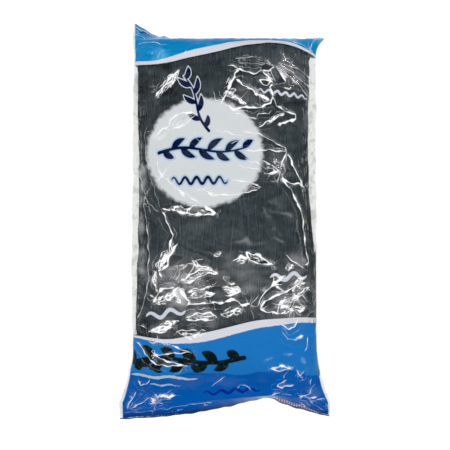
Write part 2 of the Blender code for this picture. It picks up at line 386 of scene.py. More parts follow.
# Region of the bag: lines of (how marked, pixels)
FOLDS = {
    "top left": (
        (1.0, ((155, 97), (163, 86), (172, 76), (180, 70))),
        (0.6, ((155, 97), (166, 91), (175, 81), (180, 70))),
    ),
    "top right": (
        (0.6, ((275, 65), (292, 80), (308, 97))),
        (0.8, ((275, 65), (280, 73), (286, 82))),
        (0.5, ((279, 65), (287, 74), (294, 84))),
        (0.5, ((277, 63), (296, 75), (309, 88))),
        (0.5, ((281, 63), (299, 70), (310, 79))),
        (0.8, ((275, 65), (268, 70), (262, 71))),
        (0.4, ((235, 58), (252, 57), (268, 62), (275, 65))),
        (0.3, ((240, 63), (256, 64), (275, 65))),
    ),
    "above the disk": (
        (1.0, ((220, 105), (227, 92), (234, 78), (234, 73), (240, 69), (253, 74), (262, 71), (273, 82))),
        (1.0, ((236, 80), (246, 86), (257, 94), (270, 100))),
        (1.0, ((225, 104), (234, 110), (246, 106), (255, 109), (271, 103), (273, 95), (270, 88), (273, 81))),
        (0.8, ((258, 79), (266, 80), (271, 81), (268, 86), (262, 84), (258, 79))),
        (0.7, ((275, 66), (270, 69), (273, 77), (276, 82))),
        (0.7, ((236, 113), (246, 116), (257, 119))),
        (0.8, ((257, 117), (259, 113), (267, 114), (272, 111))),
    ),
    "on the disk": (
        (0.9, ((153, 139), (160, 131), (168, 127), (171, 120), (180, 114), (194, 112))),
        (0.7, ((167, 130), (178, 128), (188, 122), (196, 114))),
        (0.7, ((158, 160), (159, 173), (178, 189), (203, 206))),
        (0.5, ((165, 178), (185, 197))),
        (0.5, ((196, 190), (212, 192), (221, 195))),
        (0.7, ((203, 188), (212, 195), (232, 195), (250, 192), (262, 187))),
        (0.6, ((232, 180), (250, 182), (262, 188))),
        (0.5, ((214, 130), (229, 133), (243, 136))),
        (0.5, ((245, 158), (258, 164), (275, 171))),
        (0.4, ((238, 166), (256, 169), (268, 174))),
    ),
    "left flank": (
        (0.3, ((145, 130), (146, 155), (151, 180), (160, 207))),
        (0.35, ((138, 160), (142, 186), (149, 204), (160, 212))),
    ),
    "dog ear": (
        (0.7, ((136, 26), (141, 31), (147, 32), (152, 36), (160, 38))),
        (0.5, ((135, 34), (142, 36), (150, 40))),
        (0.4, ((138, 44), (152, 42), (166, 45))),
    ),
    "top edge": (
        (0.5, ((236, 40), (256, 39), (272, 40))),
        (0.5, ((290, 41), (303, 45), (313, 53))),
        (0.6, ((318, 38), (312, 44), (309, 52))),
    ),
    "right of the disk": (
        (1.0, ((273, 95), (276, 106), (285, 111), (295, 115), (296, 119), (288, 121), (278, 125))),
        (0.9, ((258, 127), (272, 120), (284, 114))),
        (0.7, ((240, 131), (259, 134), (285, 148), (287, 152))),
        (0.7, ((246, 151), (268, 150), (287, 152))),
        (0.9, ((287, 152), (281, 163), (279, 170))),
        (0.8, ((280, 171), (262, 160))),
        (0.8, ((280, 171), (264, 175))),
        (0.7, ((280, 171), (276, 183))),
    ),
    "right edge": (
        (1.0, ((287, 152), (297, 175), (303, 186), (283, 180), (294, 195), (302, 215), (305, 247))),
        (1.0, ((305, 247), (308, 262), (305, 265))),
        (0.8, ((286, 255), (296, 263), (304, 268))),
    ),
    "left edge": ((0.5, ((144, 200), (149, 240), (149, 280), (145, 300), (138, 320))),),
    "left waist": (
        (1.0, ((162, 212), (173, 234), (171, 245), (168, 253), (163, 260), (156, 265), (157, 269))),
        (1.0, ((177, 243), (170, 255), (167, 265), (161, 271))),
        (1.0, ((156, 270), (154, 281), (156, 290))),
        (0.8, ((159, 271), (162, 278))),
        (1.0, ((153, 303), (160, 292), (164, 288), (174, 288))),
        (0.8, ((150, 294), (154, 298))),
    ),
    "under the disk": (
        (1.0, ((204, 206), (216, 213), (207, 215), (190, 214), (173, 210), (162, 209))),
        (0.8, ((213, 254), (219, 256))),
    ),
    "middle": (
        (1.0, ((181, 281), (188, 276), (199, 270), (213, 270), (218, 273))),
        (1.0, ((182, 282), (194, 282), (196, 278), (211, 273), (218, 273))),
        (0.8, ((187, 263), (200, 266), (213, 269))),
        (0.9, ((187, 293), (200, 289), (211, 287))),
        (
            1.0,
            ((245, 251), (255, 255), (265, 259), (272, 264), (263, 264), (251, 261), (247, 255), (245, 251)),
        ),
        (1.0, ((233, 262), (241, 256), (247, 260))),
        (1.0, ((225, 303), (231, 298), (241, 304), (251, 305), (257, 307))),
        (0.9, ((225, 286), (230, 288), (241, 292), (236, 294), (225, 296))),
    ),
    "right waist": (
        (1.0, ((257, 307), (259, 301), (265, 291), (273, 285), (280, 279), (285, 275))),
        (1.0, ((260, 308), (265, 302), (273, 297), (285, 292), (290, 288), (298, 284), (306, 283))),
        (0.9, ((275, 286), (280, 289), (285, 292))),
        (1.0, ((260, 308), (265, 311), (273, 313), (280, 313))),
        (0.8, ((285, 296), (284, 301), (280, 306))),
        (0.9, ((290, 311), (298, 311), (305, 307))),
    ),
    "over the bottom band": (
        (0.9, ((186, 305), (205, 303), (225, 303))),
        (0.9, ((186, 318), (198, 313), (212, 313), (217, 318))),
        (1.0, ((186, 320), (200, 320), (214, 320))),
        (0.8, ((183, 335), (177, 331), (188, 330), (197, 330))),
        (0.8, ((140, 325), (148, 329))),
        (0.9, ((281, 325), (288, 329), (294, 328), (299, 318))),
        (0.8, ((137, 341), (150, 360), (160, 365), (190, 366))),
        (0.8, ((190, 366), (165, 361), (155, 355), (175, 353), (192, 353))),
        (0.7, ((192, 353), (170, 345), (148, 341))),
        (0.8, ((295, 339), (303, 335))),
        (0.8, ((270, 369), (280, 366), (291, 368), (281, 371), (270, 369))),
        (0.8, ((297, 370), (300, 377), (304, 371))),
    ),
    "bottom left corner": (
        (1.0, ((154, 393), (157, 396), (169, 397), (176, 396))),
        (0.8, ((151, 397), (154, 400), (159, 398))),
        (0.7, ((151, 401), (164, 404))),
        (0.7, ((128, 409), (136, 392))),
        (0.6, ((130, 410), (151, 397))),
        (0.7, ((139, 380), (141, 385), (146, 384), (149, 380))),
    ),
    "bottom right corner": (
        (0.7, ((286, 380), (277, 386), (282, 388), (294, 384))),
        (0.65, ((315, 384), (308, 393), (301, 397), (310, 398), (316, 397))),
        (0.65, ((299, 401), (305, 405), (310, 408))),
        (0.3, ((281, 397), (300, 404), (318, 413))),
    ),
    "along the bottom seal": ((0.25, ((124, 413), (150, 411), (175, 407), (196, 404), (215, 401))),),
}

# Leaf-shaped puckers, streaked along their length:
# (pixel, half-length and half-width in millimetres, turn in degrees, height in millimetres, whiteness)
PUCKERS = (
    ((166, 86), 27, 6, 48, 1.8, 1.0),
    ((255, 61), 30, 8, 0, 0.8, 0.22),
    ((292, 76), 36, 12, -42, 1.6, 0.2),
    ((230, 92), 10, 5, 10, 1.6, 1.1),
    ((237, 99), 14, 5, -20, 1.6, 1.1),
    ((274, 119), 20, 5, 23, 1.8, 1.0),
    ((279, 167), 16, 9, -62, 1.6, 0.6),
    ((182, 122), 20, 8, 22, 1.2, 0.7),
    ((189, 211), 38, 6, -6, 1.8, 1.0),
    ((163, 260), 17, 6, 62, 1.8, 1.1),
    ((155, 280), 17, 5, 90, 1.6, 1.1),
    ((162, 300), 15, 6, 20, 1.8, 1.3),
    ((172, 294), 15, 8, 34, 2.0, 1.5),
    ((181, 297), 17, 9, -42, 2.0, 1.5),
    ((202, 295), 22, 6, 4, 1.8, 1.3),
    ((203, 274), 22, 4, 14, 1.6, 0.7),
    ((200, 289), 20, 4, 12, 1.4, 0.8),
    ((201, 266), 20, 4, -14, 1.4, 0.9),
    ((181, 267), 11, 4, 14, 1.0, 0.6),
    ((217, 254), 10, 5, 20, 1.0, 0.8),
    ((256, 258), 20, 5, -24, 1.4, 0.7),
    ((241, 260), 10, 5, 0, 1.4, 1.1),
    ((232, 290), 16, 8, -8, 1.8, 1.2),
    ((228, 279), 9, 4, -35, 1.4, 1.0),
    ((230, 312), 18, 10, 20, 1.6, 1.1),
    ((298, 284), 16, 6, 38, 2.0, 1.2),
    ((302, 291), 14, 5, 24, 1.8, 1.2),
    ((294, 298), 14, 5, 34, 1.8, 1.0),
    ((285, 303), 12, 5, 50, 1.6, 0.9),
    ((289, 266), 11, 5, 8, 1.4, 1.1),
    ((279, 280), 13, 7, 30, 1.6, 1.1),
    ((297, 309), 15, 4, 4, 1.4, 0.9),
    ((284, 309), 15, 6, 30, 1.6, 0.9),
    ((164, 327), 26, 6, 22, 1.6, 1.2),
    ((200, 317), 22, 5, 2, 1.2, 0.7),
    ((196, 334), 22, 5, 2, 1.2, 0.9),
    ((283, 368), 18, 5, 4, 1.4, 0.5),
    ((165, 395), 15, 3, -4, 1.0, 0.8),
    ((206, 404), 11, 4, 8, 0.8, 0.4),
    ((177, 411), 12, 3, 4, 0.8, 0.35),
)

# Where the film stands off the contents and looks grey, or, below 0, lies in shadow:
# (pixel, half-length and half-width in millimetres, turn in degrees, whiteness)
VEILS = (
    ((160, 84), 52, 44, 0, -0.9),
    ((212, 70), 36, 18, 4, -0.5),
    ((290, 100), 44, 22, -40, -0.5),
    ((143, 100), 46, 12, 90, -0.5),
    ((143, 318), 34, 12, 90, -0.35),
    ((312, 258), 50, 9, 90, -0.4),
    ((300, 150), 44, 14, 90, -0.25),
    ((152, 245), 40, 10, 100, -0.3),
    ((142, 238), 88, 9, 90, 0.22),
    ((142, 175), 50, 8, 84, 0.20),
    ((307, 112), 34, 9, 90, 0.27),
    ((301, 262), 16, 16, 90, 0.14),
    ((288, 80), 36, 22, -42, 0.07),
    ((254, 90), 34, 18, -20, 0.04),
    ((280, 165), 22, 16, -60, 0.08),
    ((170, 278), 22, 22, 0, 0.13),
    ((198, 280), 36, 20, 6, 0.15),
    ((232, 262), 50, 14, -10, 0.05),
    ((248, 284), 34, 26, 0, 0.09),
    ((176, 300), 36, 14, 0, 0.18),
    ((202, 316), 36, 12, 4, 0.10),
    ((290, 294), 38, 30, 50, 0.15),
    ((165, 326), 32, 12, 20, 0.12),
    ((215, 230), 60, 24, 0, 0.02),
    ((273, 202), 13, 3.5, -4, 0.13),
    ((279, 211), 20, 3.5, -9, 0.14),
    ((266, 214), 8, 3.2, -35, 0.13),
    ((287, 215), 9, 3.0, -4, 0.11),
    ((272, 229), 10, 3.2, -20, 0.13),
    ((245, 243), 24, 3.5, -4, 0.16),
    ((280, 240), 10, 3.2, -6, 0.11),
    ((208, 221), 10, 5.0, 0, 0.07),
)

# Where the film is most crumpled: (pixel, radius in millimetres, weight)
CRUMPLED = (
    ((294, 298), 36, 1.0),
    ((170, 280), 34, 1.0),
    ((205, 285), 36, 0.9),
    ((240, 95), 26, 0.5),
    ((290, 75), 30, 0.5),
    ((283, 168), 24, 0.5),
    ((143, 398), 26, 0.5),
    ((308, 395), 26, 0.5),
    ((246, 310), 26, 0.4),
)
SMOOTHEST = 0.12  # weight of the crumpling elsewhere
MOST_CRUMPLED = 1.2
BACK_CRUMPLING = 0.4

CREASE_REACH = 9 * MM
CREASE_TAPER = 5 * MM
TAPER_START = 0.25  # how far through its taper a fold begins
CREASE_WARP = 0.7 * MM  # how far a fold strays from its straight stretches
CREASE_WARP_SIZE = 8 * MM
MARK_MEAN, MARK_SPREAD = 0.88, 0.25  # of how marked a fold is along its length
FAINTEST_MARK, STRONGEST_MARK = 0.5, 1.15
RIDGE_HEIGHT = 0.6 * MM
RIDGE_SPREAD = 1.9 * MM
PUCKER_WARP = 1.5  # millimetres by which a pucker's outline strays
PUCKER_WARP_SIZE = 14 * MM
PUCKER_STEEPNESS = 1.4
WHITE_STEEPNESS = 2.5
RIM_REACH = 5.0  # millimetres outside a pucker's edge at which its field ends
GRAIN_STEP = 40.0  # between the places where two puckers take their grain
VEIL_WARP = 2.0  # how far a veil's outline strays, against a pucker's
VEIL_FALL = 1.2
WAVES = 26  # summed in a random field
WAVE_LENGTHS = (1.4, 3.0)  # shortest and longest, against the size of the field's swellings

# Short random folds; outside the crumpled places they start between two corners of the sheet
CRUMPLED_SHARE = 0.65
CRUMPLED_SCATTER = 0.55  # how far they start from a crumpled place, against its radius
FIRST_CORNER, LAST_CORNER = (-135, -280), (135, 255)  # (u, v) in millimetres
SMALL_STEPS = (1, 4)  # straight steps of a fold: from the first number to less than the last
SMALL_STEP_LENGTH = (5.0, 15.0)  # millimetres
SMALL_TURN = 0.5  # radians from step to step
SMALL_MARK = (0.2, 0.65)

# Relief of the crumpled film: (size of a swelling, height, power of the crumpling that it goes with)
RELIEF = (
    (26 * MM, 1.5 * MM, 0.6),
    (10 * MM, 0.9 * MM, 1.0),
    (4.5 * MM, 0.4 * MM, 1.7),
)
INWARDS = 0.9 * MM  # the relief sinks no further than this below the smooth film
CALM_SWELL = 0.35 * MM
CALM_SWELL_SIZE = 30 * MM
BACK_RELIEF = 0.5 * MM
BACK_RELIEF_SIZE = 16 * MM
ROOT_SPREAD = 12 * MM  # over which the relief fades towards the fins' roots
FRONT_SIDE_POWER, BACK_SIDE_POWER = 24, 16  # higher carries the relief nearer to the edge creases
FIN_RIPPLE = 1.1 * MM
FIN_RIPPLE_POWER = 1.3
FIN_RIPPLE_SLANT = 0.3
FIN_RIPPLE_WAVES = (0.053, 0.031, 0.019)
EDGE_WOBBLE = 1.3 * MM  # of the body's side edges
EDGE_WOBBLE_POWER = 6
EDGE_ROOT_SPREAD = 40 * MM
LEFT_WAVES = (0.21, 0.083, 0.037)
RIGHT_WAVES = (0.19, 0.071, 0.041)
FIN_SEED, LEFT_SEED, RIGHT_SEED = 5, 11, 12
LEFT_BULGE = 1.1  # of the left edge halfway along the bag, against 1 for its wobble
LEFT_BULGE_AT, LEFT_BULGE_SPREAD = -0.03, 0.10
FLARE = 9 * MM  # of the bottom edge, just right of where its fin hangs steepest
FLARE_AT = 0.082
FLARE_SPREAD_LEFT, FLARE_SPREAD_RIGHT = 0.010, 0.028


def random_waves(rng, us, vs, size):
    """A smooth random field over the grid, mostly within -1.5 to 1.5, with swellings of about the size."""
    field = np.zeros((len(vs), len(us)))
    for wave in range(WAVES):
        heading, phase = rng.uniform(0.0, 2.0 * math.pi, 2)
        length = size * rng.uniform(*WAVE_LENGTHS)
        along = us[None, :] * math.cos(heading) + vs[:, None] * math.sin(heading)
        field += np.sin(2.0 * math.pi * along / length + phase)
    return field * math.sqrt(2.0 / WAVES)


def crease_fields(us, vs, creases, warp):
    """Over the grid vs by us: the signed distance from the nearest crease, and how marked it is there."""
    distance = np.full((len(vs), len(us)), CREASE_REACH)
    mark = np.zeros_like(distance)
    for strength, line in creases:
        line = np.array(line) * MM
        lengths = np.linalg.norm(np.diff(line, axis=0), axis=1)
        run = 0.0
        for start, way, length in zip(line, np.diff(line, axis=0), lengths):
            low = np.minimum(start, start + way) - CREASE_REACH
            high = np.maximum(start, start + way) + CREASE_REACH
            columns = slice(*np.searchsorted(us, (low[0], high[0])))
            rows = slice(*np.searchsorted(vs, (low[1], high[1])))
            u, v = np.meshgrid(us[columns] - start[0], vs[rows] - start[1])
            u, v = u + warp[0][rows, columns], v + warp[1][rows, columns]
            along = np.clip((u * way[0] + v * way[1]) / length**2, 0.0, 1.0)
            off = np.hypot(u - along * way[0], v - along * way[1])
            side = np.where(way[0] * v - way[1] * u < 0, -1.0, 1.0)
            place = run + along * length
            taper = smooth(np.minimum(place, lengths.sum() - place) / CREASE_TAPER + TAPER_START)
            closer = off < np.abs(distance[rows, columns])
            distance[rows, columns][closer] = (side * off)[closer]
            mark[rows, columns][closer] = (strength * taper)[closer]
            run += length
    return distance, mark


def seen_creases():
    """The folds seen in the picture, carried onto the sheet."""
    lines = [line for region in FOLDS.values() for line in region]
    return [(mark, [on_sheet(pixel) for pixel in pixels]) for mark, pixels in lines]


def small_creases(rng, count):
    """Short random creases, most of them where the film is crumpled."""
    creases = []
    weights = np.array([radius * weight for pixel, radius, weight in CRUMPLED])
    for index in range(count):
        if rng.random() < CRUMPLED_SHARE:
            pixel, radius, weight = CRUMPLED[rng.choice(len(CRUMPLED), p=weights / weights.sum())]
            start = np.array(on_sheet(pixel)) + rng.normal(0.0, CRUMPLED_SCATTER * radius, 2)
        else:
            start = rng.uniform(FIRST_CORNER, LAST_CORNER)
        heading = rng.uniform(0.0, 2.0 * math.pi)
        line = [start]
        for step in range(rng.integers(*SMALL_STEPS)):
            heading += rng.normal(0.0, SMALL_TURN)
            way = np.array([math.cos(heading), math.sin(heading)])
            line.append(line[-1] + rng.uniform(*SMALL_STEP_LENGTH) * way)
        creases.append((rng.uniform(*SMALL_MARK), line))
    return creases


def along_and_over(u, v, pixel, turn):
    """Places along and across a mark that is centred on a pixel and turned by so many degrees."""
    at_u, at_v = on_sheet(pixel)
    c, s = math.cos(math.radians(turn)), math.sin(math.radians(turn))
    return (u - at_u) * c + (v - at_v) * s, (v - at_v) * c - (u - at_u) * s


def pucker_fields(us, vs, warp):
    """The puckers' height over the grid, {"white", "rim", "rim_white"}, and places along and across each."""
    u, v = np.meshgrid(us / MM, vs / MM)
    u, v = u + warp[0], v + warp[1]
    height, white, rim_white = np.zeros_like(u), np.zeros_like(u), np.zeros_like(u)
    rim = np.full_like(u, -RIM_REACH)  # millimetres inside the nearest pucker's edge
    grain = np.zeros((*u.shape, 3))
    for index, (pixel, half_length, half_width, turn, rise, whiteness) in enumerate(PUCKERS):
        along, over = along_and_over(u, v, pixel, turn)
        inside = 1.0 - (along / half_length) ** 2 - np.abs(over / half_width)
        height = np.maximum(height, smooth(PUCKER_STEEPNESS * inside) * rise)
        here = smooth(WHITE_STEEPNESS * inside) * whiteness
        whitest = here > white
        white[whitest] = here[whitest]
        place = np.stack([along, over, np.full_like(u, GRAIN_STEP * index)], axis=-1)
        grain[whitest] = place[whitest]
        deeper = inside * half_width > rim
        rim[deeper] = (inside * half_width)[deeper]
        rim_white[deeper] = whiteness
    return height * MM, {"white": white, "rim": rim, "rim_white": rim_white}, grain


def veil_field(us, vs, warp):
    """How grey the film looks over the grid, apart from its folds."""
    u, v = np.meshgrid(us / MM, vs / MM)
    u, v = u + VEIL_WARP * warp[0], v + VEIL_WARP * warp[1]
    veil, gloom = np.zeros_like(u), np.zeros_like(u)
    for pixel, half_length, half_width, turn, whiteness in VEILS:
        along, over = along_and_over(u, v, pixel, turn)
        here = whiteness * bell(VEIL_FALL * np.hypot(along / half_length, over / half_width))
        veil, gloom = np.maximum(veil, here), np.minimum(gloom, here)
    return veil + gloom


def crumpling(us, vs):
    """How crumpled the film is over the grid, from 0 to about 1."""
    u, v = np.meshgrid(us / MM, vs / MM)
    weight = np.full(u.shape, SMOOTHEST)
    for pixel, radius, strength in CRUMPLED:
        at_u, at_v = on_sheet(pixel)
        weight += (strength - SMOOTHEST) * bell(np.hypot(u - at_u, v - at_v) / radius)
    return np.clip(weight, 0.0, MOST_CRUMPLED)


def normals_of(grid):
    """Unit normals of a grid of points, facing up on the front of the bag."""
    normals = np.cross(np.gradient(grid, axis=1), np.gradient(grid, axis=0))
    return normals / np.maximum(np.linalg.norm(normals, axis=-1, keepdims=True), 1e-12)


def away_from_roots(spread):
    """0 at the fins and at their roots, rising to 1 over the spread in the body."""
    body = rows_of(bottom_shoulder, slab, top_shoulder) > 0
    low, high = ROW_V[body][0], ROW_V[body][-1]
    return np.where(body, smooth((ROW_V - low) / spread) * smooth((high - ROW_V) / spread), 0.0)[:, None]


def waver(v, seed, waves):
    """A smooth random line from -1 to 1 over v, of sines with the given wavelengths."""
    rng = np.random.default_rng(seed)
    total = sum(np.sin(2 * math.pi * (v / wave + rng.random())) for wave in waves)
    return total / len(waves)


def fin_waves(us):
    """Ripple of the fins off their own plane, across the grid's rows."""
    u, v = np.meshgrid(us, ROW_V)
    from_bottom = (ROW_V - ROW_V[0])[:, None] / FIN_LENGTH
    from_top = (ROW_V[-1] - ROW_V)[:, None] / FIN_LENGTH
    outwards = np.clip(1.0 - np.minimum(from_bottom, from_top), 0.0, 1.0)
    ripple = waver(u + FIN_RIPPLE_SLANT * v, FIN_SEED, FIN_RIPPLE_WAVES)
    return FIN_RIPPLE * ripple * outwards**FIN_RIPPLE_POWER


def edge_flare(us):
    """How far the bottom fin turns outwards beside its steepest place, across the grid's rows."""
    off = us - FLARE_AT
    spread = np.where(off < 0.0, FLARE_SPREAD_LEFT, FLARE_SPREAD_RIGHT)
    outwards = np.clip(1.0 - (ROW_V - ROW_V[0]) / FIN_LENGTH, 0.0, 1.0)
    return FLARE * outwards[:, None] * bell(off / spread)[None, :]


def side_wobble(us):
    """How far the body's side edges stray towards +X, across the grid's rows."""
    share = us[None, :] / FLAT_HALF_WIDTH
    left = waver(ROW_V, LEFT_SEED, LEFT_WAVES)
    left = left - LEFT_BULGE * bell((ROW_V - LEFT_BULGE_AT) / LEFT_BULGE_SPREAD)
    right = waver(ROW_V, RIGHT_SEED, RIGHT_WAVES)
    wobble = np.where(share < 0, left[:, None], 0.0)
    wobble = wobble + np.where(share > 0, right[:, None], 0.0)
    return EDGE_WOBBLE * wobble * np.abs(share) ** EDGE_WOBBLE_POWER * away_from_roots(EDGE_ROOT_SPREAD)


def ridges(rng, us, vs, size):
    """A random field of sharp ridges with hollows of about the size between them, from about -1 to 1."""
    return 1.0 - np.abs(random_waves(rng, us, vs, size))


def shaped_film(settings):
    """(front points, back points, fields of the front by name, grain) of the creased film."""
    rng = np.random.default_rng(settings.seed)
    warp = [CREASE_WARP * random_waves(rng, FRONT_U, ROW_V, CREASE_WARP_SIZE) for axis in range(2)]
    creases = seen_creases() + small_creases(rng, settings.small_creases)
    distance, mark = crease_fields(FRONT_U, ROW_V, creases, warp)
    wander = MARK_MEAN + MARK_SPREAD * random_waves(rng, FRONT_U, ROW_V, CREASE_WARP_SIZE)
    mark *= np.clip(wander, FAINTEST_MARK, STRONGEST_MARK)
    weight = crumpling(FRONT_U, ROW_V)
    bend = [PUCKER_WARP * random_waves(rng, FRONT_U, ROW_V, PUCKER_WARP_SIZE) for axis in range(2)]
    pucker_height, pucker_marks, grain = pucker_fields(FRONT_U, ROW_V, bend)
    height = CALM_SWELL * random_waves(rng, FRONT_U, ROW_V, CALM_SWELL_SIZE)
    for size, rise, power in RELIEF:
        height += rise * ridges(rng, FRONT_U, ROW_V, size) * weight**power
    height = np.maximum(height, -INWARDS) * settings.crumpling
    height += pucker_height * settings.crumpling
    height += RIDGE_HEIGHT * mark * bell(distance / RIDGE_SPREAD)
    side = 1.0 - np.abs(FRONT_S)[None, :] ** FRONT_SIDE_POWER
    height = height * away_from_roots(ROOT_SPREAD) * side
    front = FRONT_BASE + normals_of(FRONT_BASE) * height[..., None]
    back_height = BACK_RELIEF * ridges(rng, BACK_U, ROW_V, BACK_RELIEF_SIZE)
    back_side = 1.0 - np.abs(BACK_S)[None, :] ** BACK_SIDE_POWER
    back_height = back_height * away_from_roots(ROOT_SPREAD) * back_side
    back = BACK_BASE - normals_of(BACK_BASE) * back_height[..., None]
    for grid, base, us in ((front, FRONT_BASE, FRONT_U), (back, BACK_BASE, BACK_U)):
        grid += normals_of(base) * fin_waves(us)[..., None]
        grid[..., 1] -= edge_flare(us)
        grid[..., 0] += side_wobble(us)
        grid[..., 2] = np.maximum(grid[..., 2], 0.0)
    fields = {"crease": distance / MM, "mark": mark, "crumple": weight} | pucker_marks
    fields["veil"] = veil_field(FRONT_U, ROW_V, bend)
    return front, back, fields, grain


def film_faces():
    """Faces of the closed film: the front's grid, the back's, which shares its side edges, and both ends."""
    rows, columns = len(ROWS), FRONT_COLUMNS + 1
    front = np.arange(rows * columns).reshape(rows, columns)
    back = np.empty((rows, BACK_COLUMNS + 1), dtype=int)
    back[:, 0], back[:, -1] = front[:, 0], front[:, -1]
    inner = BACK_COLUMNS - 1
    back[:, 1:-1] = rows * columns + np.arange(rows * inner).reshape(rows, inner)
    faces = []
    for grid, flip in ((front, False), (back, True)):
        quads = np.stack([grid[:-1, :-1], grid[:-1, 1:], grid[1:, 1:], grid[1:, :-1]], axis=-1).reshape(-1, 4)
        faces += (quads[:, ::-1] if flip else quads).tolist()
    for row, flip in ((0, True), (rows - 1, False)):
        for column in range(BACK_COLUMNS):
            ring = [*front[row, 2 * column : 2 * column + 3], back[row, column + 1], back[row, column]]
            ring = list(dict.fromkeys(int(corner) for corner in ring))
            faces.append(ring[::-1] if flip else ring)
    return faces


# ---------------------------------------------------------------------------------------------
# The print, as distances in millimetres inside each printed shape: positive within, negative without
# ---------------------------------------------------------------------------------------------

# Edges of the bands, at the pixels where they are seen
BAND_EDGES = {
    "top_blue": (
        (137, 61), (150, 62), (168, 58), (190, 50), (215, 45),
        (240, 41), (262, 40), (285, 41), (315, 56),
    ),
    "top_edging": (
        (137, 65), (150, 65), (168, 63), (190, 57), (215, 52),
        (250, 44), (276, 42), (296, 47), (315, 58),
    ),
    "bottom_edging": ((135, 335), (169, 340), (213, 331), (257, 320), (301, 317), (315, 318)),
    "bottom_blue": ((135, 337), (169, 344), (198, 343), (213, 340), (257, 328), (301, 322), (315, 323)),
}
EDGE_POINTS = 80
EDGE_AVERAGE = 9  # points over which an edge is smoothed; odd
# Where the print ends short of the film's edges, at the bottom, along the slab and at the top
PRINT_LEFT_BOTTOM, PRINT_LEFT_SLAB, PRINT_LEFT_TOP = -150.5, -148.0, -152.0
PRINT_RIGHT_BOTTOM, PRINT_RIGHT_SLAB, PRINT_RIGHT_TOP = 153.5, 149.0, 153.0
# How far from the film's ends these pass into each other
LEFT_TURN, RIGHT_TURN = 200.0, 60.0
TOP_TURN_FROM, TOP_TURN = 22.0, 50.0
# Unprinted film along the bottom edge: (u, width)
BOTTOM_MARGIN = (
    (-155, 1.0), (-140, 2.4), (-50, 2.4), (0, 1.2), (62, 2.0), (72, 17.0), (95, 13.0), (142, 3.0),
)
SEAL_ENDS = (62.0, 144.0)  # between these the bottom seal is folded under and shows its ribs
RIB_PITCH = 3.7
RIB_FADE = 1.5
SEAL_WIDTH = 16.0
HEM_WIDTH = 1.3  # of the dark line along the bottom edge, where the fin lies level
HEM_GAIN = 3.5  # how much wider it is where the fin hangs steepest, against that width

DISK_PIXEL = (204, 152)
DISK_RADII = (89.0, 79.0)

# Motifs, by the pixels of their two ends; lengths in millimetres.
# The sprig and the frond: (ends, sway, blades, length and radius of a blade)
SPRIG = (((159, 153), (247, 147)), 5.0, 10, 29.0, 4.6)
FROND = (((209, 131), (184, 76)), 4.0, 7, 27.0, 3.8)
FROND_OUTLINE = 1.3
# Wave marks, on the disk, pale, of foam and dark: (ends, swell, waves, radius)
DISK_WAVE = (((171, 181), (228, 180)), 5.0, 5, 1.9)
PALE_MARKS = (
    (((146, 317), (186, 310)), 4.5, 2, 2.7),
    (((270, 278), (307, 275)), 4.5, 2, 2.7),
    (((258, 90), (307, 98)), 2.4, 6, 1.6),
)
FOAM_MARKS = (
    (((131, 374), (198, 379)), 1.6, 2, 2.6),
    (((150, 384), (181, 386)), 1.2, 2, 1.2),
)
DEEP_MARKS = (
    (((203, 393), (261, 389)), 3.4, 4, 2.4),
    (((136, 29), (161, 38)), 2.0, 4, 1.3),
)
# Fronds of kelp in the bottom band: (ends, sway, blades, length and radius of a blade)
KELP = (
    (((244, 358), (133, 361)), 5.0, 11, 30.0, 6.8),
    (((133, 362), (196, 366)), -3.0, 7, 19.0, 4.6),
)

SEA_LEVEL = -224.0  # where the two blues of the bottom band meet
SEA_SWELLS = ((3.4, 19.0), (1.6, 8.3))  # (height, length of one radian)

FAR_OUTSIDE = -60.0

STEM_POINTS = 21
STEM_ROOT, STEM_TAPER = 0.55, 0.3  # radius at the root and its loss to the tip, against a blade's
LEAF_POINTS = 8
LEAF_SKEW = 0.8  # under 1, a blade is widest nearer its root
LEAF_TIP = 0.3
LEAF_ANGLE, LEAF_BEND = 0.95, 0.8  # radians, off the stem and back towards it
FIRST_LEAF = 0.6  # its place up the stem, in steps from leaf to leaf
SHORTEST_LEAF, THIRD_LEAF = 0.75, 0.85  # lengths, against the longest and against its neighbours
WAVE_POINTS = 12  # for each wave of a wave mark
WAVE_TAPER = 0.35  # lower keeps a wave mark's width nearer to its ends
WAVE_TIP = 0.2


def line_between(pixels, count):
    """Evenly spaced places from one pixel to another, their shares of the way, and the normal to it."""
    start, end = (np.array(on_sheet(pixel)) for pixel in pixels)
    way = end - start
    share = np.linspace(0.0, 1.0, count)
    return start + way * share[:, None], share, np.array([-way[1], way[0]]) / np.linalg.norm(way)


def strokes_field(u, v, strokes):
    """How deep each place lies inside the nearest stroke; a stroke is a row of points and their radii."""
    field = np.full(u.shape, FAR_OUTSIDE)
    for points, radii in strokes:
        for (u0, v0), (u1, v1), r0, r1 in zip(points, points[1:], radii, radii[1:]):
            length = math.hypot(u1 - u0, v1 - v0)
            along = np.clip(((u - u0) * (u1 - u0) + (v - v0) * (v1 - v0)) / length**2, 0.0, 1.0)
            off = np.hypot(u - u0 - along * (u1 - u0), v - v0 - along * (v1 - v0))
            field = np.maximum(field, r0 + (r1 - r0) * along - off)
    return field


def leaf(root, heading, length, radius, bend):
    """One curved blade, pointed at both ends."""
    share = np.linspace(0.0, 1.0, LEAF_POINTS)
    headings = heading + bend * share[:-1]
    steps = np.stack([np.cos(headings), np.sin(headings)], axis=-1) * length / len(headings)
    points = np.array(root) + np.concatenate([[(0.0, 0.0)], np.cumsum(steps, axis=0)])
    return points, radius * np.sin(math.pi * share**LEAF_SKEW) + LEAF_TIP


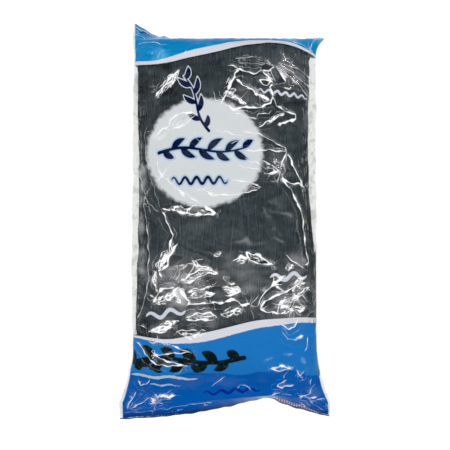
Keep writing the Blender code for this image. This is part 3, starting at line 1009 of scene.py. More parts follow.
def sprig(pixels, sway, leaves, length, radius):
    """A wavy stem with blades to both sides."""
    points, share, normal = line_between(pixels, STEM_POINTS)
    points = points + normal * (sway * np.sin(2.0 * math.pi * share))[:, None]
    strokes = [(points, radius * (STEM_ROOT - STEM_TAPER * share))]
    for index in range(leaves):
        at = (index + FIRST_LEAF) / leaves
        side = 1.0 if index % 2 else -1.0
        root = [np.interp(at, share, points[:, axis]) for axis in range(2)]
        heading = math.atan2(*(points[-1] - points[0])[::-1]) + side * LEAF_ANGLE
        size = length * (SHORTEST_LEAF + (1.0 - SHORTEST_LEAF) * math.sin(math.pi * at))
        size *= 1.0 if index % 3 else THIRD_LEAF
        strokes.append(leaf(root, heading, size, radius, -side * LEAF_BEND))
    return strokes


def wave_line(pixels, swell, waves, radius):
    """A tapered wavy line."""
    points, share, normal = line_between(pixels, WAVE_POINTS * waves + 1)
    points = points + normal * (swell * np.sin(2.0 * math.pi * waves * share))[:, None]
    return points, radius * np.sin(math.pi * share) ** WAVE_TAPER + WAVE_TIP


def band_fields(u, v):
    """The bands' and the seal's fields at the places (u, v), and places across and from the ends."""
    fields = {}
    for name, pixels in BAND_EDGES.items():
        line_u, line_v = np.array([on_sheet(pixel) for pixel in pixels]).T
        bend = np.linspace(line_u[0], line_u[-1], EDGE_POINTS)
        padded = np.pad(np.interp(bend, line_u, line_v), EDGE_AVERAGE // 2, "edge")
        level = np.convolve(padded, np.ones(EDGE_AVERAGE) / EDGE_AVERAGE, "valid")
        edge = np.interp(u, bend, level)
        fields[name] = v - edge if name.startswith("top") else edge - v
    from_bottom, from_top = v - ROW_V[0] / MM, ROW_V[-1] / MM - v
    in_slab = smooth(from_bottom / LEFT_TURN) * smooth((from_top - TOP_TURN_FROM) / TOP_TURN)
    left = np.where(v < 0.0, PRINT_LEFT_BOTTOM, PRINT_LEFT_TOP)
    left = left + (PRINT_LEFT_SLAB - left) * in_slab
    above_margin = from_bottom - np.interp(u, *zip(*BOTTOM_MARGIN))
    right = PRINT_RIGHT_BOTTOM + (PRINT_RIGHT_SLAB - PRINT_RIGHT_BOTTOM) * smooth(from_bottom / RIGHT_TURN)
    right = np.where(v < 0.0, right, PRINT_RIGHT_TOP)
    margin = np.minimum(np.minimum(u - left, right - u), above_margin)
    fields = {name: np.minimum(field, margin) for name, field in fields.items()}
    fields["seal"] = np.minimum(-above_margin, np.minimum(u - SEAL_ENDS[0], SEAL_ENDS[1] - u))
    fields["hem"] = HEM_WIDTH * (1.0 + HEM_GAIN * notch(u * MM / FLAT_HALF_WIDTH)) - from_bottom
    fields["across"] = u
    fields["end"] = np.minimum(from_bottom, from_top)
    return fields


def print_fields(u, v, front):
    """Every printed shape's field at the places (u, v); the back has only the bands."""
    fields = band_fields(u, v)
    swell = sum(height * np.sin(u / length + height) for height, length in SEA_SWELLS)
    fields["sea"] = SEA_LEVEL + swell - v
    if not front:
        blank = np.full(u.shape, FAR_OUTSIDE)
        return fields | {name: blank for name in ("disk", "navy", "frond", "pale", "kelp", "foam", "deep")}
    disk_u, disk_v = on_sheet(DISK_PIXEL)
    reach = np.hypot((u - disk_u) / DISK_RADII[0], (v - disk_v) / DISK_RADII[1])
    fields["disk"] = (1.0 - reach) * min(DISK_RADII)
    motifs = {
        "navy": sprig(*SPRIG) + [wave_line(*DISK_WAVE)],
        "frond": sprig(*FROND),
        "pale": [wave_line(*mark) for mark in PALE_MARKS],
        "kelp": [stroke for frond in KELP for stroke in sprig(*frond)],
        "foam": [wave_line(*mark) for mark in FOAM_MARKS],
        "deep": [wave_line(*mark) for mark in DEEP_MARKS],
    }
    for name, strokes in motifs.items():
        fields[name] = strokes_field(u, v, strokes)
    for name in ("kelp", "foam"):
        fields[name] = np.minimum(fields[name], fields["bottom_blue"])
    fields["deep"] = np.minimum(fields["deep"], np.maximum(fields["bottom_blue"], fields["top_blue"]))
    return fields


def make_film(settings):
    front, back, marks, grain = shaped_film(settings)
    points = np.concatenate([front.reshape(-1, 3), back[:, 1:-1].reshape(-1, 3)])
    mesh = bpy.data.meshes.new("film")
    mesh.from_pydata(points.tolist(), [], film_faces())
    mesh.validate()
    front_u, front_v = np.meshgrid(FRONT_U / MM, ROW_V / MM)
    back_u, back_v = np.meshgrid(BACK_U[1:-1] / MM, ROW_V / MM)
    front_fields = print_fields(front_u, front_v, True) | marks
    back_fields = print_fields(back_u, back_v, False) | {name: np.zeros_like(back_u) for name in marks}
    back_fields["rim"] = back_fields["rim"] - RIM_REACH
    back_fields["crumple"] = back_fields["crumple"] + BACK_CRUMPLING
    for name, values in front_fields.items():
        values = np.concatenate([values.ravel(), back_fields[name].ravel()])
        mesh.attributes.new(name, "FLOAT", "POINT").data.foreach_set("value", values)
    whole_grain = np.concatenate([grain.reshape(-1, 3), np.zeros((back_u.size, 3))])
    mesh.attributes.new("grain", "FLOAT_VECTOR", "POINT").data.foreach_set("vector", whole_grain.ravel())
    mesh.shade_smooth()
    return mesh


# ---------------------------------------------------------------------------------------------
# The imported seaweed
# ---------------------------------------------------------------------------------------------

CORE_COLUMNS = 240
CORE_ROW_PITCH = 4 * MM
CORE_GAP = 3.6 * MM  # under the film in front
CORE_BACK_GAP = 2.2 * MM
CORE_LEAST = 2.0 * MM  # least reach of the mass above and below the edge creases
CORE_LOWEST = 0.9 * MM
CORE_BOTTOM_ROWS, CORE_TOP_ROWS = 14, 9  # in the bag's bottom and top shoulders
# Between the seaweed and the bag's edge creases: (y, left gap and right gap in millimetres)
SIDE_GAPS = (
    (-0.26, 6.0, 3.0),
    (-0.12, 7.0, 3.0),
    (-0.08, 8.5, 3.0),
    (-0.05, 9.5, 2.5),
    (-0.03, 10.0, 6.5),
    (0.00, 10.0, 9.5),
    (0.04, 10.5, 13.0),
    (0.12, 9.5, 14.0),
    (0.16, 8.0, 13.0),
    (0.24, 7.5, 10.5),
)
STREAK_HEIGHT = 0.8 * MM
STREAK_POINTS = (7, 3)  # over which they are averaged along the bag and round the mass; odd
STREAK_LIMIT = 2.5  # standard deviations of the streaks at which they are cut off
LOWEST_STRAND = 0.4 * MM
CORE_END = 0.66  # how far round the top shoulder the seaweed reaches
CORE_START = 0.52  # how far up the bottom shoulder it begins


def core_rows():
    """(stretch, q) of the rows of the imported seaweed, from the bottom to the top."""
    shares = np.linspace(CORE_START, 1.0, CORE_BOTTOM_ROWS, endpoint=False)
    rows = [(bottom_shoulder, q) for q in shares]
    cells = round((SLAB_TOP - SLAB_BOTTOM) / CORE_ROW_PITCH)
    rows += [(slab, cell / cells) for cell in range(cells)]
    return rows + [(top_shoulder, q) for q in np.linspace(0.0, CORE_END, CORE_TOP_ROWS)]


def core_ring(stretch, q):
    """One closed ring of points round the seaweed, a little inside the film."""
    s = np.linspace(-1.0, 1.0, CORE_COLUMNS + 1)
    front = points_at(stretch, q, s, True)
    back = points_at(stretch, q, s[-2:0:-1], False)
    ring = np.concatenate([front, back])
    middle_height = front[0, 2]
    y, left, right = np.array(SIDE_GAPS).T
    gap = np.where(ring[:, 0] < 0, np.interp(ring[:, 1], y, left), np.interp(ring[:, 1], y, right)) * MM
    ring[:, 0] *= 1.0 - gap / np.abs(front[0, 0])
    rise = ring[:, 2] - middle_height
    tallest = np.where(rise > 0, rise.max(), -rise.min())
    room = np.maximum(tallest - np.where(rise > 0, CORE_GAP, CORE_BACK_GAP), CORE_LEAST)
    ring[:, 2] = middle_height + rise * room / tallest
    return ring


def streaks(rng, rows, columns):
    """Fine relief that runs along the bag, from -1 to 1."""
    field = rng.normal(size=(rows, columns))
    for axis, width in enumerate(STREAK_POINTS):
        kernel = np.ones(width) / width
        pad = [(0, 0), (0, 0)]
        pad[axis] = (width // 2, width // 2)
        field = np.apply_along_axis(np.convolve, axis, np.pad(field, pad, "wrap"), kernel, "valid")
    return np.clip(field / (STREAK_LIMIT * field.std()), -1.0, 1.0)


def make_core(settings):
    rings = np.stack([core_ring(stretch, q) for stretch, q in core_rows()])
    rows, columns = rings.shape[:2]
    rng = np.random.default_rng(settings.seed)
    out = rings - rings.mean(axis=1, keepdims=True)
    out /= np.linalg.norm(out, axis=-1, keepdims=True)
    rings += out * (streaks(rng, rows, columns) * STREAK_HEIGHT)[..., None]
    rings[..., 2] = np.maximum(rings[..., 2], CORE_LOWEST)
    index = np.arange(rows * columns).reshape(rows, columns)
    around = np.roll(index, -1, axis=1)
    faces = np.stack([index[:-1], around[:-1], around[1:], index[1:]], axis=-1).reshape(-1, 4).tolist()
    points = rings.reshape(-1, 3).tolist()
    for ring, flip in ((0, True), (rows - 1, False)):
        points.append(rings[ring].mean(axis=0).tolist())
        fan = [[int(a), int(b), len(points) - 1] for a, b in zip(index[ring], around[ring])]
        faces += [face[::-1] if flip else face for face in fan]
    mesh = bpy.data.meshes.new("seaweed_core")
    mesh.from_pydata(points, [], faces)
    mesh.validate()
    mesh.shade_smooth()
    return mesh


def add_node(tree, kind, values=None, **settings):
    """A node with its settings, and its inputs as numbers or as links from other nodes' outputs."""
    item = tree.nodes.new(kind)
    for name, value in settings.items():
        setattr(item, name, value)
    for socket, value in (values or {}).items():
        if isinstance(value, bpy.types.NodeSocket):
            tree.links.new(value, item.inputs[socket])
        else:
            item.inputs[socket].default_value = value
    return item


def calculate(tree, operation, *values):
    return add_node(tree, "ShaderNodeMath", dict(enumerate(values)), operation=operation).outputs[0]


def random_float(tree, low, high, seed):
    """A random number for each strand; its seed is the tree's seed plus a number."""
    chosen = add_node(tree, "ShaderNodeMath", {0: seed[0], 1: seed[1]}).outputs[0]
    values = {2: low, 3: high, "Seed": chosen}
    return add_node(tree, "FunctionNodeRandomValue", values, data_type="FLOAT").outputs[1]


STRAND_CUTS = 5
STRAND_SIDES = 5
STRAND_TIP = 0.25  # width at the tips, against that of the middle
STRAND_TURN = 0.16  # radians, at most, off the length of the bag
STRAND_SIZES = (0.45, 1.35)  # shortest and longest, against the length that is asked for
WANDER_SCALE = 34.0
LEVEL_MARGIN = 0.001  # lets level faces grow strands where "Sideways" is 0
STRAND_INPUTS = (
    ("Density", "NodeSocketFloat", 5000.0),
    ("Length", "NodeSocketFloat", 0.04),
    ("Width", "NodeSocketFloat", 0.0012),
    ("Flatness", "NodeSocketFloat", 0.4),
    ("Lift", "NodeSocketFloat", 0.001),
    ("Wander", "NodeSocketFloat", 0.006),
    ("Sideways", "NodeSocketFloat", 0.0),
    ("Seed", "NodeSocketInt", 1),
    ("Material", "NodeSocketMaterial", None),
)


def strand_tree():
    """Geometry nodes that lay strands along a mass of seaweed, close to its surface."""
    tree = bpy.data.node_groups.new("Seaweed strands", "GeometryNodeTree")
    tree.interface.new_socket("Geometry", in_out="INPUT", socket_type="NodeSocketGeometry")
    for name, kind, value in STRAND_INPUTS:
        socket = tree.interface.new_socket(name, in_out="INPUT", socket_type=kind)
        if value is not None:
            socket.default_value = value
    tree.interface.new_socket("Geometry", in_out="OUTPUT", socket_type="NodeSocketGeometry")
    given = tree.nodes.new("NodeGroupInput").outputs
    seed = given["Seed"]

    # "Sideways" keeps the strands to the flanks: 0 is everywhere, 1 only where the surface faces sideways
    facing = tree.nodes.new("GeometryNodeInputNormal").outputs[0]
    facing = add_node(tree, "ShaderNodeSeparateXYZ", {0: facing}).outputs["X"]
    aside = calculate(tree, "ADD", calculate(tree, "ABSOLUTE", facing), LEVEL_MARGIN)
    chosen = calculate(tree, "GREATER_THAN", aside, given["Sideways"])
    density = calculate(tree, "MULTIPLY", given["Density"], chosen)
    scatter = add_node(
        tree,
        "GeometryNodeDistributePointsOnFaces",
        {"Mesh": given["Geometry"], "Density": density, "Seed": seed},
    )

    half = calculate(tree, "MULTIPLY", given["Length"], 0.5)
    start = add_node(tree, "ShaderNodeCombineXYZ", {"Y": calculate(tree, "MULTIPLY", half, -1.0)})
    end = add_node(tree, "ShaderNodeCombineXYZ", {"Y": half})
    line = add_node(
        tree,
        "GeometryNodeCurvePrimitiveLine",
        {"Start": start.outputs[0], "End": end.outputs[0]},
    )
    line = add_node(tree, "GeometryNodeSubdivideCurve", {"Curve": line.outputs[0], "Cuts": STRAND_CUTS})
    heading = random_float(tree, -STRAND_TURN, STRAND_TURN, (seed, 1))
    turn = add_node(tree, "ShaderNodeCombineXYZ", {"Z": heading})
    size = random_float(tree, *STRAND_SIZES, (seed, 2))
    placed = add_node(
        tree,
        "GeometryNodeInstanceOnPoints",
        {
            "Points": scatter.outputs["Points"],
            "Instance": line.outputs[0],
            "Rotation": turn.outputs[0],
            "Scale": size,
        },
    )
    placed = add_node(
        tree,
        "GeometryNodeStoreNamedAttribute",
        {"Geometry": placed.outputs[0], "Name": "shade", "Value": random_float(tree, 0.0, 1.0, (seed, 3))},
        domain="INSTANCE",
    )
    curves = add_node(tree, "GeometryNodeRealizeInstances", {0: placed.outputs[0]}).outputs[0]

    place = tree.nodes.new("GeometryNodeInputPosition").outputs[0]
    noise = add_node(tree, "ShaderNodeTexNoise", {"Vector": place, "Scale": WANDER_SCALE, "Detail": 1.0})
    swing = {0: noise.outputs["Color"], 1: (0.5, 0.5, 0.5)}
    swing = add_node(tree, "ShaderNodeVectorMath", swing, operation="SUBTRACT").outputs[0]
    swing = {0: swing, "Scale": given["Wander"]}
    swing = add_node(tree, "ShaderNodeVectorMath", swing, operation="SCALE").outputs[0]
    curves = add_node(tree, "GeometryNodeSetPosition", {"Geometry": curves, "Offset": swing}).outputs[0]

    nearest = add_node(tree, "GeometryNodeProximity", {0: given["Geometry"]}, target_element="FACES")
    normal = add_node(
        tree,
        "GeometryNodeSampleNearestSurface",
        {"Mesh": given["Geometry"], "Value": tree.nodes.new("GeometryNodeInputNormal").outputs[0]},
        data_type="FLOAT_VECTOR",
    )
    shade = add_node(tree, "GeometryNodeInputNamedAttribute", {"Name": "shade"}, data_type="FLOAT").outputs[0]
    raised = calculate(tree, "MULTIPLY", shade, given["Lift"])
    lift = add_node(tree, "ShaderNodeVectorMath", {0: normal.outputs[0], "Scale": raised}, operation="SCALE")
    curves = add_node(
        tree,
        "GeometryNodeSetPosition",
        {"Geometry": curves, "Position": nearest.outputs["Position"], "Offset": lift.outputs[0]},
    ).outputs[0]

    along = tree.nodes.new("GeometryNodeSplineParameter").outputs["Factor"]
    swell = calculate(tree, "SINE", calculate(tree, "MULTIPLY", along, math.pi))
    taper = calculate(tree, "ADD", calculate(tree, "MULTIPLY", swell, 1.0 - STRAND_TIP), STRAND_TIP)
    curves = add_node(tree, "GeometryNodeSetCurveNormal", {"Curve": curves}, mode="Z_UP").outputs[0]
    profile = {"Resolution": STRAND_SIDES, "Radius": 0.5}
    profile = add_node(tree, "GeometryNodeCurvePrimitiveCircle", profile).outputs[0]
    thin = calculate(tree, "MULTIPLY", given["Width"], given["Flatness"])
    flat = add_node(tree, "ShaderNodeCombineXYZ", {"X": given["Width"], "Y": thin, "Z": 1.0}).outputs[0]
    profile = add_node(tree, "GeometryNodeTransform", {"Geometry": profile, "Scale": flat}).outputs[0]
    blades = add_node(
        tree,
        "GeometryNodeCurveToMesh",
        {"Curve": curves, "Profile Curve": profile, "Scale": taper, "Fill Caps": True},
    )
    blades = add_node(tree, "GeometryNodeSetShadeSmooth", {0: blades.outputs[0]}).outputs[0]
    blades = add_node(tree, "GeometryNodeRealizeInstances", {0: blades}).outputs[0]
    finished = add_node(tree, "GeometryNodeSetMaterial", {"Geometry": blades, "Material": given["Material"]})
    out = tree.nodes.new("NodeGroupOutput")
    tree.links.new(finished.outputs[0], out.inputs[0])
    return tree


def make_strands(name, core_mesh, values):
    """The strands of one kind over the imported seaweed, as one plain mesh."""
    tree = bpy.data.node_groups.get("Seaweed strands") or strand_tree()
    carrier = bpy.data.objects.new(name + "_carrier", core_mesh.copy())
    bpy.context.scene.collection.objects.link(carrier)
    modifier = carrier.modifiers.new("Strands", "NODES")
    modifier.node_group = tree
    for item in tree.interface.items_tree:
        if item.in_out == "INPUT" and item.name in values:
            modifier[item.identifier] = values[item.name]
    evaluated = carrier.evaluated_get(bpy.context.evaluated_depsgraph_get())
    mesh = bpy.data.meshes.new_from_object(evaluated)
    mesh.name = name
    bpy.data.objects.remove(carrier)
    if not mesh.polygons:
        raise RuntimeError("no strands were made for " + name)
    for point in mesh.vertices:
        point.co.z = max(point.co.z, LOWEST_STRAND)
    return mesh


# ---------------------------------------------------------------------------------------------
# Materials
# ---------------------------------------------------------------------------------------------


def new_material(name):
    material = bpy.data.materials.new(name)
    material.use_nodes = True
    material.node_tree.nodes.clear()
    return material, material.node_tree


def attribute(tree, name, output="Fac"):
    return add_node(tree, "ShaderNodeAttribute", attribute_name=name).outputs[output]


def mix_colours(tree, factor, first, second):
    return add_node(tree, "ShaderNodeMix", {0: factor, 6: first, 7: second}, data_type="RGBA").outputs[2]


def noise_at(tree, place, scale, detail, stretch=(1.0, 1.0, 1.0)):
    mapped = add_node(tree, "ShaderNodeMapping", {"Vector": place, "Scale": stretch}).outputs[0]
    values = {"Vector": mapped, "Scale": scale, "Detail": detail}
    return add_node(tree, "ShaderNodeTexNoise", values).outputs["Fac"]


def object_noise(tree, scale, detail, stretch=(1.0, 1.0, 1.0)):
    place = add_node(tree, "ShaderNodeTexCoord").outputs["Object"]
    return noise_at(tree, place, scale, detail, stretch)


def steps_up(tree, value, low, high, top=1.0):
    """From 0 at low to top at high, with smooth ends."""
    values = {"Value": value, "From Min": low, "From Max": high, "To Max": top}
    return add_node(tree, "ShaderNodeMapRange", values, interpolation_type="SMOOTHSTEP").outputs[0]


def product(tree, *values):
    result = values[0]
    for value in values[1:]:
        result = calculate(tree, "MULTIPLY", result, value)
    return result


def largest(tree, *values):
    result = values[0]
    for value in values[1:]:
        result = calculate(tree, "MAXIMUM", result, value)
    return result


RIDGE_STEEPNESS = 5.0
GRAIN_SCALE = 0.13  # streaks a millimetre across a pucker
GRAIN_STRETCH = 0.42
RIM_STRAY = 7.0  # how far, at most, a pucker's white rim strays to one side, in millimetres
RIM_INSIDE = 0.9  # millimetres from the pucker's edge to its white rim
FACET_SCALE, FACET_STRETCH, FACETS = 30.0, (0.5, 1.0, 1.0), 6.0
PUCKER_VEIL = 0.13  # whiteness of a pucker between its streaks, as a share of theirs
TORN_EDGE = 2.4  # raggedness of a pucker's outline


def ridge_of(tree, noise):
    """1 where a noise crosses its middle, falling off to both sides: a net of fine folds."""
    off = calculate(tree, "ABSOLUTE", calculate(tree, "SUBTRACT", noise, 0.5))
    return calculate(tree, "SUBTRACT", 1.0, calculate(tree, "MULTIPLY", off, RIDGE_STEEPNESS))


def ragged_rim(tree):
    return calculate(tree, "SUBTRACT", object_noise(tree, 130.0, 3.0), 0.5)


def seal_ribs(tree):
    """The ribs pressed into both seals, from -1 to 1, and 0 elsewhere."""
    waves = calculate(tree, "SINE", product(tree, attribute(tree, "across"), 2.0 * math.pi / RIB_PITCH))
    inwards = calculate(tree, "SUBTRACT", SEAL_WIDTH, attribute(tree, "end"))
    return product(tree, waves, steps_up(tree, inwards, 0.0, RIB_FADE))


HALO_REACH, HALO_SOFTNESS = 2.2, 1.0  # millimetres outside the navy print
OUTLINE_SOFTNESS = 0.4
HALO_COVER, FOAM_COVER = 0.75, 0.85
EDGE_SHADE, EDGE_SHADE_REACH = 0.85, 18.0  # of the lower blue, towards the film's ends
# Softness and raggedness of the edge of each printed shape, in millimetres, and scale of the raggedness
INK_EDGES = {
    "top_blue": (0.5, 0.4, 500.0),
    "bottom_blue": (0.5, 1.6, 300.0),
    "seal": (0.5, 0.4, 500.0),
    "hem": (0.5, 1.6, 300.0),
    "top_edging": (0.5, 0.4, 500.0),
    "bottom_edging": (0.5, 0.4, 500.0),
    "sea": (2.0, 2.0, 200.0),
    "disk": (4.0, 9.0, 120.0),
    "navy": (0.5, 0.4, 500.0),
    "frond": (0.4, 0.4, 500.0),
    "pale": (0.5, 0.4, 500.0),
    "kelp": (0.8, 1.6, 300.0),
    "foam": (0.8, 3.0, 160.0),
    "deep": (0.8, 0.4, 500.0),
}


def ink_masks(tree):
    """Each printed shape's mask, from its distance field."""
    ragged = {}
    masks = {}
    for name, (softness, raggedness, scale) in INK_EDGES.items():
        if scale not in ragged:
            ragged[scale] = calculate(tree, "SUBTRACT", object_noise(tree, scale, 2.0), 0.5)
        field = calculate(tree, "ADD", attribute(tree, name), product(tree, ragged[scale], raggedness))
        masks[name] = steps_up(tree, field, -softness, softness)
    navy, frond = attribute(tree, "navy"), attribute(tree, "frond")
    for name, field, reach, softness in (
        ("halo", navy, HALO_REACH, HALO_SOFTNESS),
        ("outline", frond, FROND_OUTLINE, OUTLINE_SOFTNESS),
    ):
        masks[name] = steps_up(tree, field, -reach - softness, -reach + softness)
    return masks


def ink_colour(tree, masks, inks):
    """The print's colour: each layer over the one before it."""
    swell = object_noise(tree, 60.0, 3.0, (0.4, 1.0, 1.0))
    sea = mix_colours(tree, swell, inks_of(inks, "sea"), inks_of(inks, "deep_sea"))
    outwards = calculate(tree, "SUBTRACT", 0.0, attribute(tree, "end"))
    at_edge = steps_up(tree, outwards, -EDGE_SHADE_REACH, 0.0, EDGE_SHADE)
    sea = mix_colours(tree, at_edge, sea, inks_of(inks, "fin_shadow"))
    blue = mix_colours(tree, masks["sea"], inks_of(inks, "sky"), sea)
    scuffs = steps_up(tree, object_noise(tree, 55.0, 5.0, (0.5, 1.2, 1.0)), 0.46, 0.8)
    top = mix_colours(tree, scuffs, inks_of(inks, "top"), inks_of(inks, "top_pale"))
    colour = mix_colours(tree, masks["disk"], inks_of(inks, "edging"), inks_of(inks, "disk"))
    colour = mix_colours(tree, masks["bottom_blue"], colour, blue)
    colour = mix_colours(tree, masks["top_blue"], colour, top)
    tufts = steps_up(tree, object_noise(tree, 150.0, 4.0), 0.45, 0.75)
    leafy = mix_colours(tree, tufts, inks_of(inks, "kelp"), inks_of(inks, "kelp_light"))
    colour = mix_colours(tree, product(tree, masks["foam"], FOAM_COVER), colour, inks_of(inks, "foam"))
    colour = mix_colours(tree, masks["kelp"], colour, leafy)
    colour = mix_colours(tree, product(tree, masks["halo"], HALO_COVER), colour, inks_of(inks, "halo"))
    colour = mix_colours(tree, largest(tree, masks["pale"], masks["outline"]), colour, inks_of(inks, "pale"))
    colour = mix_colours(tree, masks["deep"], colour, inks_of(inks, "deep"))
    ribs = steps_up(tree, seal_ribs(tree), 0.1, 0.7)
    ribbed = mix_colours(tree, ribs, inks_of(inks, "seal"), inks_of(inks, "rib_shadow"))
    colour = mix_colours(tree, masks["seal"], colour, ribbed)
    colour = mix_colours(tree, masks["hem"], colour, inks_of(inks, "fin_shadow"))
    return mix_colours(tree, largest(tree, masks["navy"], masks["frond"]), colour, inks_of(inks, "navy"))


def inks_of(inks, name):
    return (*getattr(inks, name), 1.0)


def near_zero(tree, value, low, high):
    """1 where the value is under low, falling to 0 at high, to both sides of 0."""
    off = calculate(tree, "ABSOLUTE", value)
    return steps_up(tree, calculate(tree, "SUBTRACT", 0.0, off), -high, -low)


def film_folds(tree, look, blue):
    """(height in metres, whiteness, shadow) of the film's long folds, puckers and fine folds."""
    thinness = {"Value": object_noise(tree, 60.0, 2.0), "From Min": 0.35, "From Max": 0.65}
    thinness = add_node(tree, "ShaderNodeMapRange", thinness | {"To Min": 0.65, "To Max": 2.1}).outputs[0]
    distance, mark = attribute(tree, "crease"), attribute(tree, "mark")
    slimness = calculate(tree, "SUBTRACT", 1.6, mark)
    edge = near_zero(tree, product(tree, distance, thinness, slimness), 0.4, 1.2)
    broken = steps_up(tree, object_noise(tree, 110.0, 2.0), 0.15, 0.4)
    line = product(tree, edge, mark, broken)
    beside = product(tree, steps_up(tree, calculate(tree, "SUBTRACT", 0.0, distance), -6.0, -0.5), mark, mark)
    beside = product(tree, beside, calculate(tree, "GREATER_THAN", distance, 0.0))
    behind = product(tree, steps_up(tree, distance, -5.0, -0.8), calculate(tree, "LESS_THAN", distance, 0.0))
    patchy = steps_up(tree, object_noise(tree, 260.0, 3.0), 0.42, 0.68)

    grain = attribute(tree, "grain", "Vector")
    coarse = noise_at(tree, grain, GRAIN_SCALE, 2.5, (GRAIN_STRETCH, 1.0, 1.0))
    fine = noise_at(tree, grain, 2.3 * GRAIN_SCALE, 2.0, (GRAIN_STRETCH, 1.0, 1.0))
    torn = calculate(tree, "ADD", attribute(tree, "white"), product(tree, ragged_rim(tree), TORN_EDGE))
    white = product(tree, attribute(tree, "white"), steps_up(tree, torn, 0.2, 0.75))
    sharp = steps_up(tree, ridge_of(tree, coarse), 0.68, 0.96)
    streak = product(tree, sharp, steps_up(tree, fine, 0.3, 0.46))
    fill = product(tree, steps_up(tree, coarse, 0.48, 0.62), steps_up(tree, fine, 0.35, 0.65), patchy)
    cloudy = steps_up(tree, object_noise(tree, 48.0, 4.0, FACET_STRETCH), 0.3, 0.7, 1.6)
    streaks = calculate(tree, "ADD", streak, product(tree, fill, 0.7))
    streaks = calculate(tree, "ADD", streaks, product(tree, cloudy, PUCKER_VEIL))

    strayed = calculate(tree, "ADD", attribute(tree, "rim"), product(tree, ragged_rim(tree), RIM_STRAY))
    off_rim = calculate(tree, "SUBTRACT", strayed, RIM_INSIDE)
    rim = near_zero(tree, product(tree, off_rim, thinness), 0.4, 1.3)
    partly = steps_up(tree, object_noise(tree, 90.0, 2.0), 0.45, 0.6)
    rim = product(tree, rim, attribute(tree, "rim_white"), partly)

    crumple = attribute(tree, "crumple")
    # Facets: each is greyer towards one side, where it ends at an edge
    tilt = object_noise(tree, FACET_SCALE, 1.5, FACET_STRETCH)
    facet = steps_up(tree, calculate(tree, "FRACT", product(tree, tilt, FACETS)), 0.15, 1.0)
    veil = product(tree, facet, crumple, look.facets)
    grey = attribute(tree, "veil")
    veil = calculate(tree, "ADD", veil, product(tree, largest(tree, grey, 0.0), cloudy))
    dim = steps_up(tree, object_noise(tree, 75.0, 3.0, FACET_STRETCH), 0.5, 0.66)
    shadow = product(tree, dim, steps_up(tree, crumple, 0.1, 0.7))
    shadow = largest(tree, shadow, product(tree, behind, mark, patchy), product(tree, grey, cloudy, -1.0))
    shadow = calculate(tree, "MINIMUM", product(tree, shadow, look.shadows), 1.0)
    crinkle = object_noise(tree, 90.0, 2.0)
    wrinkle = object_noise(tree, 420.0, 2.0, (1.0, 0.6, 1.0))
    heights = (
        product(tree, line, look.crease_height * MM),
        product(tree, ridge_of(tree, coarse), white, look.streak_height * MM),
        product(tree, ridge_of(tree, crinkle), crumple, crumple, look.crinkle_height * MM),
        product(tree, wrinkle, look.fine_wrinkles * MM),
        product(tree, seal_ribs(tree), look.rib_height * MM),
    )
    height = heights[0]
    for other in heights[1:]:
        height = calculate(tree, "ADD", height, other)
    smudges = product(tree, steps_up(tree, object_noise(tree, 26.0, 4.0), 0.48, 0.75), look.smudges)
    haze = product(tree, calculate(tree, "ADD", smudges, veil), calculate(tree, "SUBTRACT", 1.0, blue))
    soft = steps_up(tree, object_noise(tree, 80.0, 3.0), 0.35, 0.7)
    whiteness = calculate(tree, "ADD", product(tree, line, look.crease_whitening), haze)
    whiteness = calculate(tree, "ADD", whiteness, product(tree, beside, soft, look.side_whitening))
    whiteness = calculate(tree, "ADD", whiteness, product(tree, streaks, white, look.streak_whitening))
    whiteness = calculate(tree, "ADD", whiteness, product(tree, rim, look.rim_whitening))
    return height, calculate(tree, "MINIMUM", whiteness, 1.0), shadow


# The print that hides the contents; the other printed shapes lie on it
COVERING = (
    "top_blue", "bottom_blue", "top_edging", "bottom_edging", "disk", "pale",
    "navy", "frond", "outline", "seal", "hem",
)
INK_COVER = 0.988
INK_ROUGHNESS = 0.5
HAZE_HIDDEN = {"bottom_blue": 0.9, "top_blue": 0.6}  # share of the film's haze that a band doesn't show
CLEAR_TINT = (0.89, 0.895, 0.885, 1.0)  # of the light that passes the film
SHADED_TINT = (0.45, 0.45, 0.45, 1.0)  # of that light in the shadows between folds
WHITENED_TINT = (0.95, 0.96, 0.97, 1.0)
WHITENED_ROUGHNESS, WHITENED_SPECULAR = 0.6, 0.05
WHITE = (1.0, 1.0, 1.0, 1.0)
GRAZING_POWER, GRAZING_SHINE = 5.0, 0.6
GLOSS_FROM, GLOSS_TO = 0.18, 0.5  # crumpling between which the film gains its gloss
LEAST_GLOSS = 0.15


